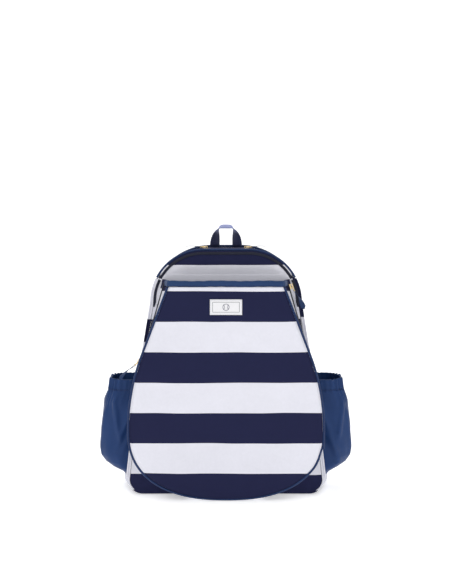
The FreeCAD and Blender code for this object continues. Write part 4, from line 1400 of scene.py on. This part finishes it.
def threaded(name, points, k):
    """A band through (distance, lift) points on the strap's line."""
    line = resample(np.array([(a, b, 0.0) for a, b in points]), 0.0008)
    order = np.argsort(line[:, 0], kind="stable")
    centre, across, normal = np.empty((3, len(order), 3))
    centre[order], across[order], normal[order] = cloth_line(line[order, 0] + np.arange(len(order)) * 1e-7)
    centre = centre + normal * line[:, 1:2]
    ahead = np.gradient(centre, axis=0)
    out = np.cross(across, ahead)
    out /= np.maximum(np.linalg.norm(out, axis=1)[:, None], 1e-9)
    return mirrored(strip(name, centre, across * WEB_WIDE / 2, out, WEB_THICK), k)


for side, k in (("left", -1), ("right", 1)):
    body = "shoulder_strap_" + side
    pad = simulate(strap_piece("shoulder_strap_pad_" + side, k), STRAP_VOXEL, STRAP_CAP)
    bend_piece(pad, ("bag", body), on_strap(0.006, k), on_strap(0.052, k), NAVY_CLOTH, "navy_cloth",
               "shoulder_pad_" + side, "strap_root_" + side)
    s = np.linspace(0.054, PAD_END - 0.024, 130)
    centre, across, normal = cloth_line(s)
    rows = []
    for edge in (-1, 1):
        bound = centre + across * edge * (STRAP_WIDE / 2 - 0.0004)
        cord = tube("strap_binding_%s_%d" % (side, edge + 1), bound * [k, 1, 1], 0.0021, sides=10)
        finish_piece(cord, body, PIPING_CLOTH, "piping")
        rows.append((centre + across * edge * STITCH_SIDE + normal * STITCH_LIFT) * [k, 1, 1])
    stitches("strap_stitches_" + side, body, THREAD_PALE, "ribbon", rows)
    loop = threaded("strap_lock_loop_" + side, LOCK_LOOP, k)
    finish_piece(loop, body, WEBBING_CLOTH, "webbing")
    web = threaded("strap_lower_webbing_" + side, LOCK_WEB, k)
    bend_piece(web, (body, "bag"), on_strap(STRAP_LONG - 0.048, k), on_strap(STRAP_LONG - 0.014, k),
               WEBBING_CLOTH, "webbing", "strap_webbing_" + side)
    start, across, _ = strap_line(np.array([PAD_END + 0.023]), 0.0034)
    drop = np.array([0.10, 0.22, -1.0])
    drop /= np.linalg.norm(drop)
    d = np.linspace(0, 0.058, 50)[:, None]
    hang = start + drop * d
    through = np.cross(drop, across[0])
    through /= np.linalg.norm(through)
    hang = hang + through * 0.0010 * np.sin(d * 75)
    sideways, outwards = (np.tile(v, (50, 1)) * [k, 1, 1] for v in (across[0] * WEB_WIDE / 2, through))
    tail = strip("strap_tail_webbing_" + side, hang * [k, 1, 1], sideways, outwards, WEB_THICK)
    finish_piece(tail, "strap_tail_" + side, WEBBING_CLOTH, "webbing", "strap_tail_" + side)
    refinish(BUCKLE, "ladder_lock_" + side)

# %% [markdown]
# ## Back
# The back is a stiff padded panel with three air-mesh pads sewn on it. The pads are the same foam in
# cloth as the straps, so they swell in the same way. The panel's crown is shallow, so a formula does it.

# %% Back panel
PANEL_LOW, PANEL_HIGH = 0.0035, 0.4375


def back_panel():
    """Height x width: the back outline read sideways, raised by a shallow crown and a quilted edge."""
    path = half_outline(BACK)[10:-29][::-1]
    z = np.linspace(PANEL_LOW, PANEL_HIGH, 150)[:, None]
    u = np.sin(np.linspace(-1, 1, 110) * math.pi / 2)[None]
    centre_z, radius = BACK["arch_z"] * MM, BACK["radius"] * MM
    flat = (BACK["side"] - BACK["radius"]) * MM
    above = flat + np.sqrt(np.clip(radius ** 2 - np.clip(z - centre_z, 0, radius) ** 2, 0, 1))
    below = np.interp(z, path[:, 1], path[:, 0])
    half = np.where(z > centre_z, above, below) - 0.0036
    x = u * half
    high = z + 0 * x
    spread = join(x, 0, high)
    inside = smooth_step((1 - np.abs(u)) / 0.05) * smooth_step((high - PANEL_LOW) / 0.01) * smooth_step(
        (PANEL_HIGH - high) / 0.01)
    lift = (0.0010 + ripple(spread, 0.06, 0.0005, 71)) * inside
    y = BACK["y"] * MM - 0.0008 + lift
    outer = join(x, y, high)
    inner = join(x, (BACK["y"] - 10) * MM + 0.0004, high)
    panel = shell("back_panel_cloth", outer, inner)
    return panel


finish_piece(back_panel(), "bag", NAVY_CLOTH, "navy_cloth", "back_panel")
PAD_SQUARE, PAD_VOXEL, PAD_CAP, PAD_PRESSURE = 0.28, 0.0024, 0.0022, 2.0
BACK_PADS = [(0.052, 0.146, 0.138), (0.156, 0.258, 0.130), (0.268, 0.366, 0.112)]


def pad_edge(angle):
    """Points (x, z) of a superellipse whose half sizes are one."""
    return join(signed_power(np.cos(angle), PAD_SQUARE), signed_power(np.sin(angle), PAD_SQUARE))


def pad_form(name, low, high, half):
    """A flat cushion: its outline is a superellipse, and its thickness falls away at the edge."""
    edge = pad_edge(np.linspace(0, 2 * math.pi, 120, endpoint=False))
    r = np.array([0.02, 0.3, 0.6, 0.85, 0.97, 1.0, 1.0, 0.97, 0.85, 0.6, 0.3, 0.02])
    y = np.array([0.0050, 0.0050, 0.0049, 0.0044, 0.0034, 0.0022, 0.0012, 0.0006, 0.0005, 0.0005, 0.0005,
                  0.0005])
    middle, tall = (low + high) / 2, (high - low) / 2
    x = r[:, None] * edge[None, :, 0] * (half - 0.001)
    z = middle + r[:, None] * edge[None, :, 1] * (tall - 0.001)
    groove = np.exp(-(x / 0.010) ** 2) * 0.0028 * (y[:, None] > 0.003)
    points = join(x, BACK["y"] * MM + y[:, None] - groove, z)
    faces = grid_faces(len(r), 120, 0, True) + [list(range(120)), list(range(11 * 120, 12 * 120))]
    return new_object(name, points, faces)


for number, (low, high, half) in enumerate(BACK_PADS, 1):
    pad = simulate(pad_form("back_mesh_pad_%d" % number, low, high, half), PAD_VOXEL, PAD_CAP,
                   PAD_PRESSURE)
    finish_piece(pad, "bag", MESH_CLOTH, "air_mesh", "back_padding")
    edge = pad_edge(np.linspace(0, 2 * math.pi, 160))
    ring = join(edge[:, 0] * half, BACK["y"] * MM + 0.0010, (low + high) / 2 + edge[:, 1] * (high - low) / 2)
    finish_piece(tube("back_pad_binding_%d" % number, resample(ring, 0.003), 0.0014, sides=8), "bag",
                 PIPING_CLOTH, "piping")

# %% [markdown]
# ## Inside, and what is left
# The slip pocket is a thin panel that hangs between its binding and the base, so it gets a soft belly.
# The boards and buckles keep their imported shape.

# %% Slip pocket
def slip_pocket():
    low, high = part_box("inner_sleeve")
    x = np.linspace(low.x, high.x, 90)[None]
    z = np.linspace(low.z, high.z, 80)[:, None]
    share_x, share_z = (x - low.x) / (high.x - low.x), (z - low.z) / (high.z - low.z)
    belly = 0.0016 * np.sin(math.pi * share_x) * np.sin(math.pi * share_z)
    flat = join(x, 0, z)
    y = low.y + 0.0004 - belly + ripple(flat, 0.06, 0.0004, 81) * np.sin(math.pi * share_x)
    outer = join(x, y, z)
    sleeve = shell("slip_pocket_cloth", outer, outer + [0, 0.0010, 0])
    return sleeve


finish_piece(slip_pocket(), "bag", LINING_CLOTH, "lining", "inner_sleeve")
refinish(LINING_CLOTH, "inner_sleeve_gusset")
refinish(BAND_CLOTH, "inner_sleeve_binding")
refinish(BOARD, "back_board", "base_board")


def foot_tab(name, k):
    """The folded tab that the lower webbing is sewn to: four sides, a soft edge and a slight crown."""
    u, v = np.meshgrid(np.linspace(0, 1, 26), np.linspace(0, 1, 26))
    corner = np.array([(-0.017, 0.012), (0.017, 0.012), (0.023, -0.024), (-0.014, -0.024)])
    flat = (corner[0] * ((1 - u) * (1 - v))[..., None] + corner[1] * (u * (1 - v))[..., None]
            + corner[2] * (u * v)[..., None] + corner[3] * ((1 - u) * v)[..., None])
    edge = smooth_step(np.minimum(np.minimum(u, 1 - u), np.minimum(v, 1 - v)) / 0.10)
    y = STRAP_FOOT[1] - 0.0062 + 0.0014 * edge
    outer = join(STRAP_FOOT[0] + flat[..., 0], y, STRAP_FOOT[2] + flat[..., 1]) * [k, 1, 1]
    return shell(name, outer, outer * [1, 0, 1] + [0, STRAP_FOOT[1] - 0.0068, 0])


for side, k in (("left", -1), ("right", 1)):
    finish_piece(foot_tab("strap_foot_tab_" + side, k), "bag", NAVY_CLOTH, "navy_cloth", "strap_foot_" + side)
    cross = [(-0.008, -0.009), (0.011, -0.009), (0.011, 0.009), (-0.008, 0.009)]
    box_and_x = [cross[i] for i in (0, 1, 2, 3, 0, 2, 1, 3)]
    line = np.array([STRAP_FOOT + ALONG * a + ACROSS * b for a, b in box_and_x])
    line[:, 1] = TAB_THREAD_Y
    stitches("strap_foot_stitches_" + side, "bag", THREAD_PALE, "ribbon", [line * [k, 1, 1]])
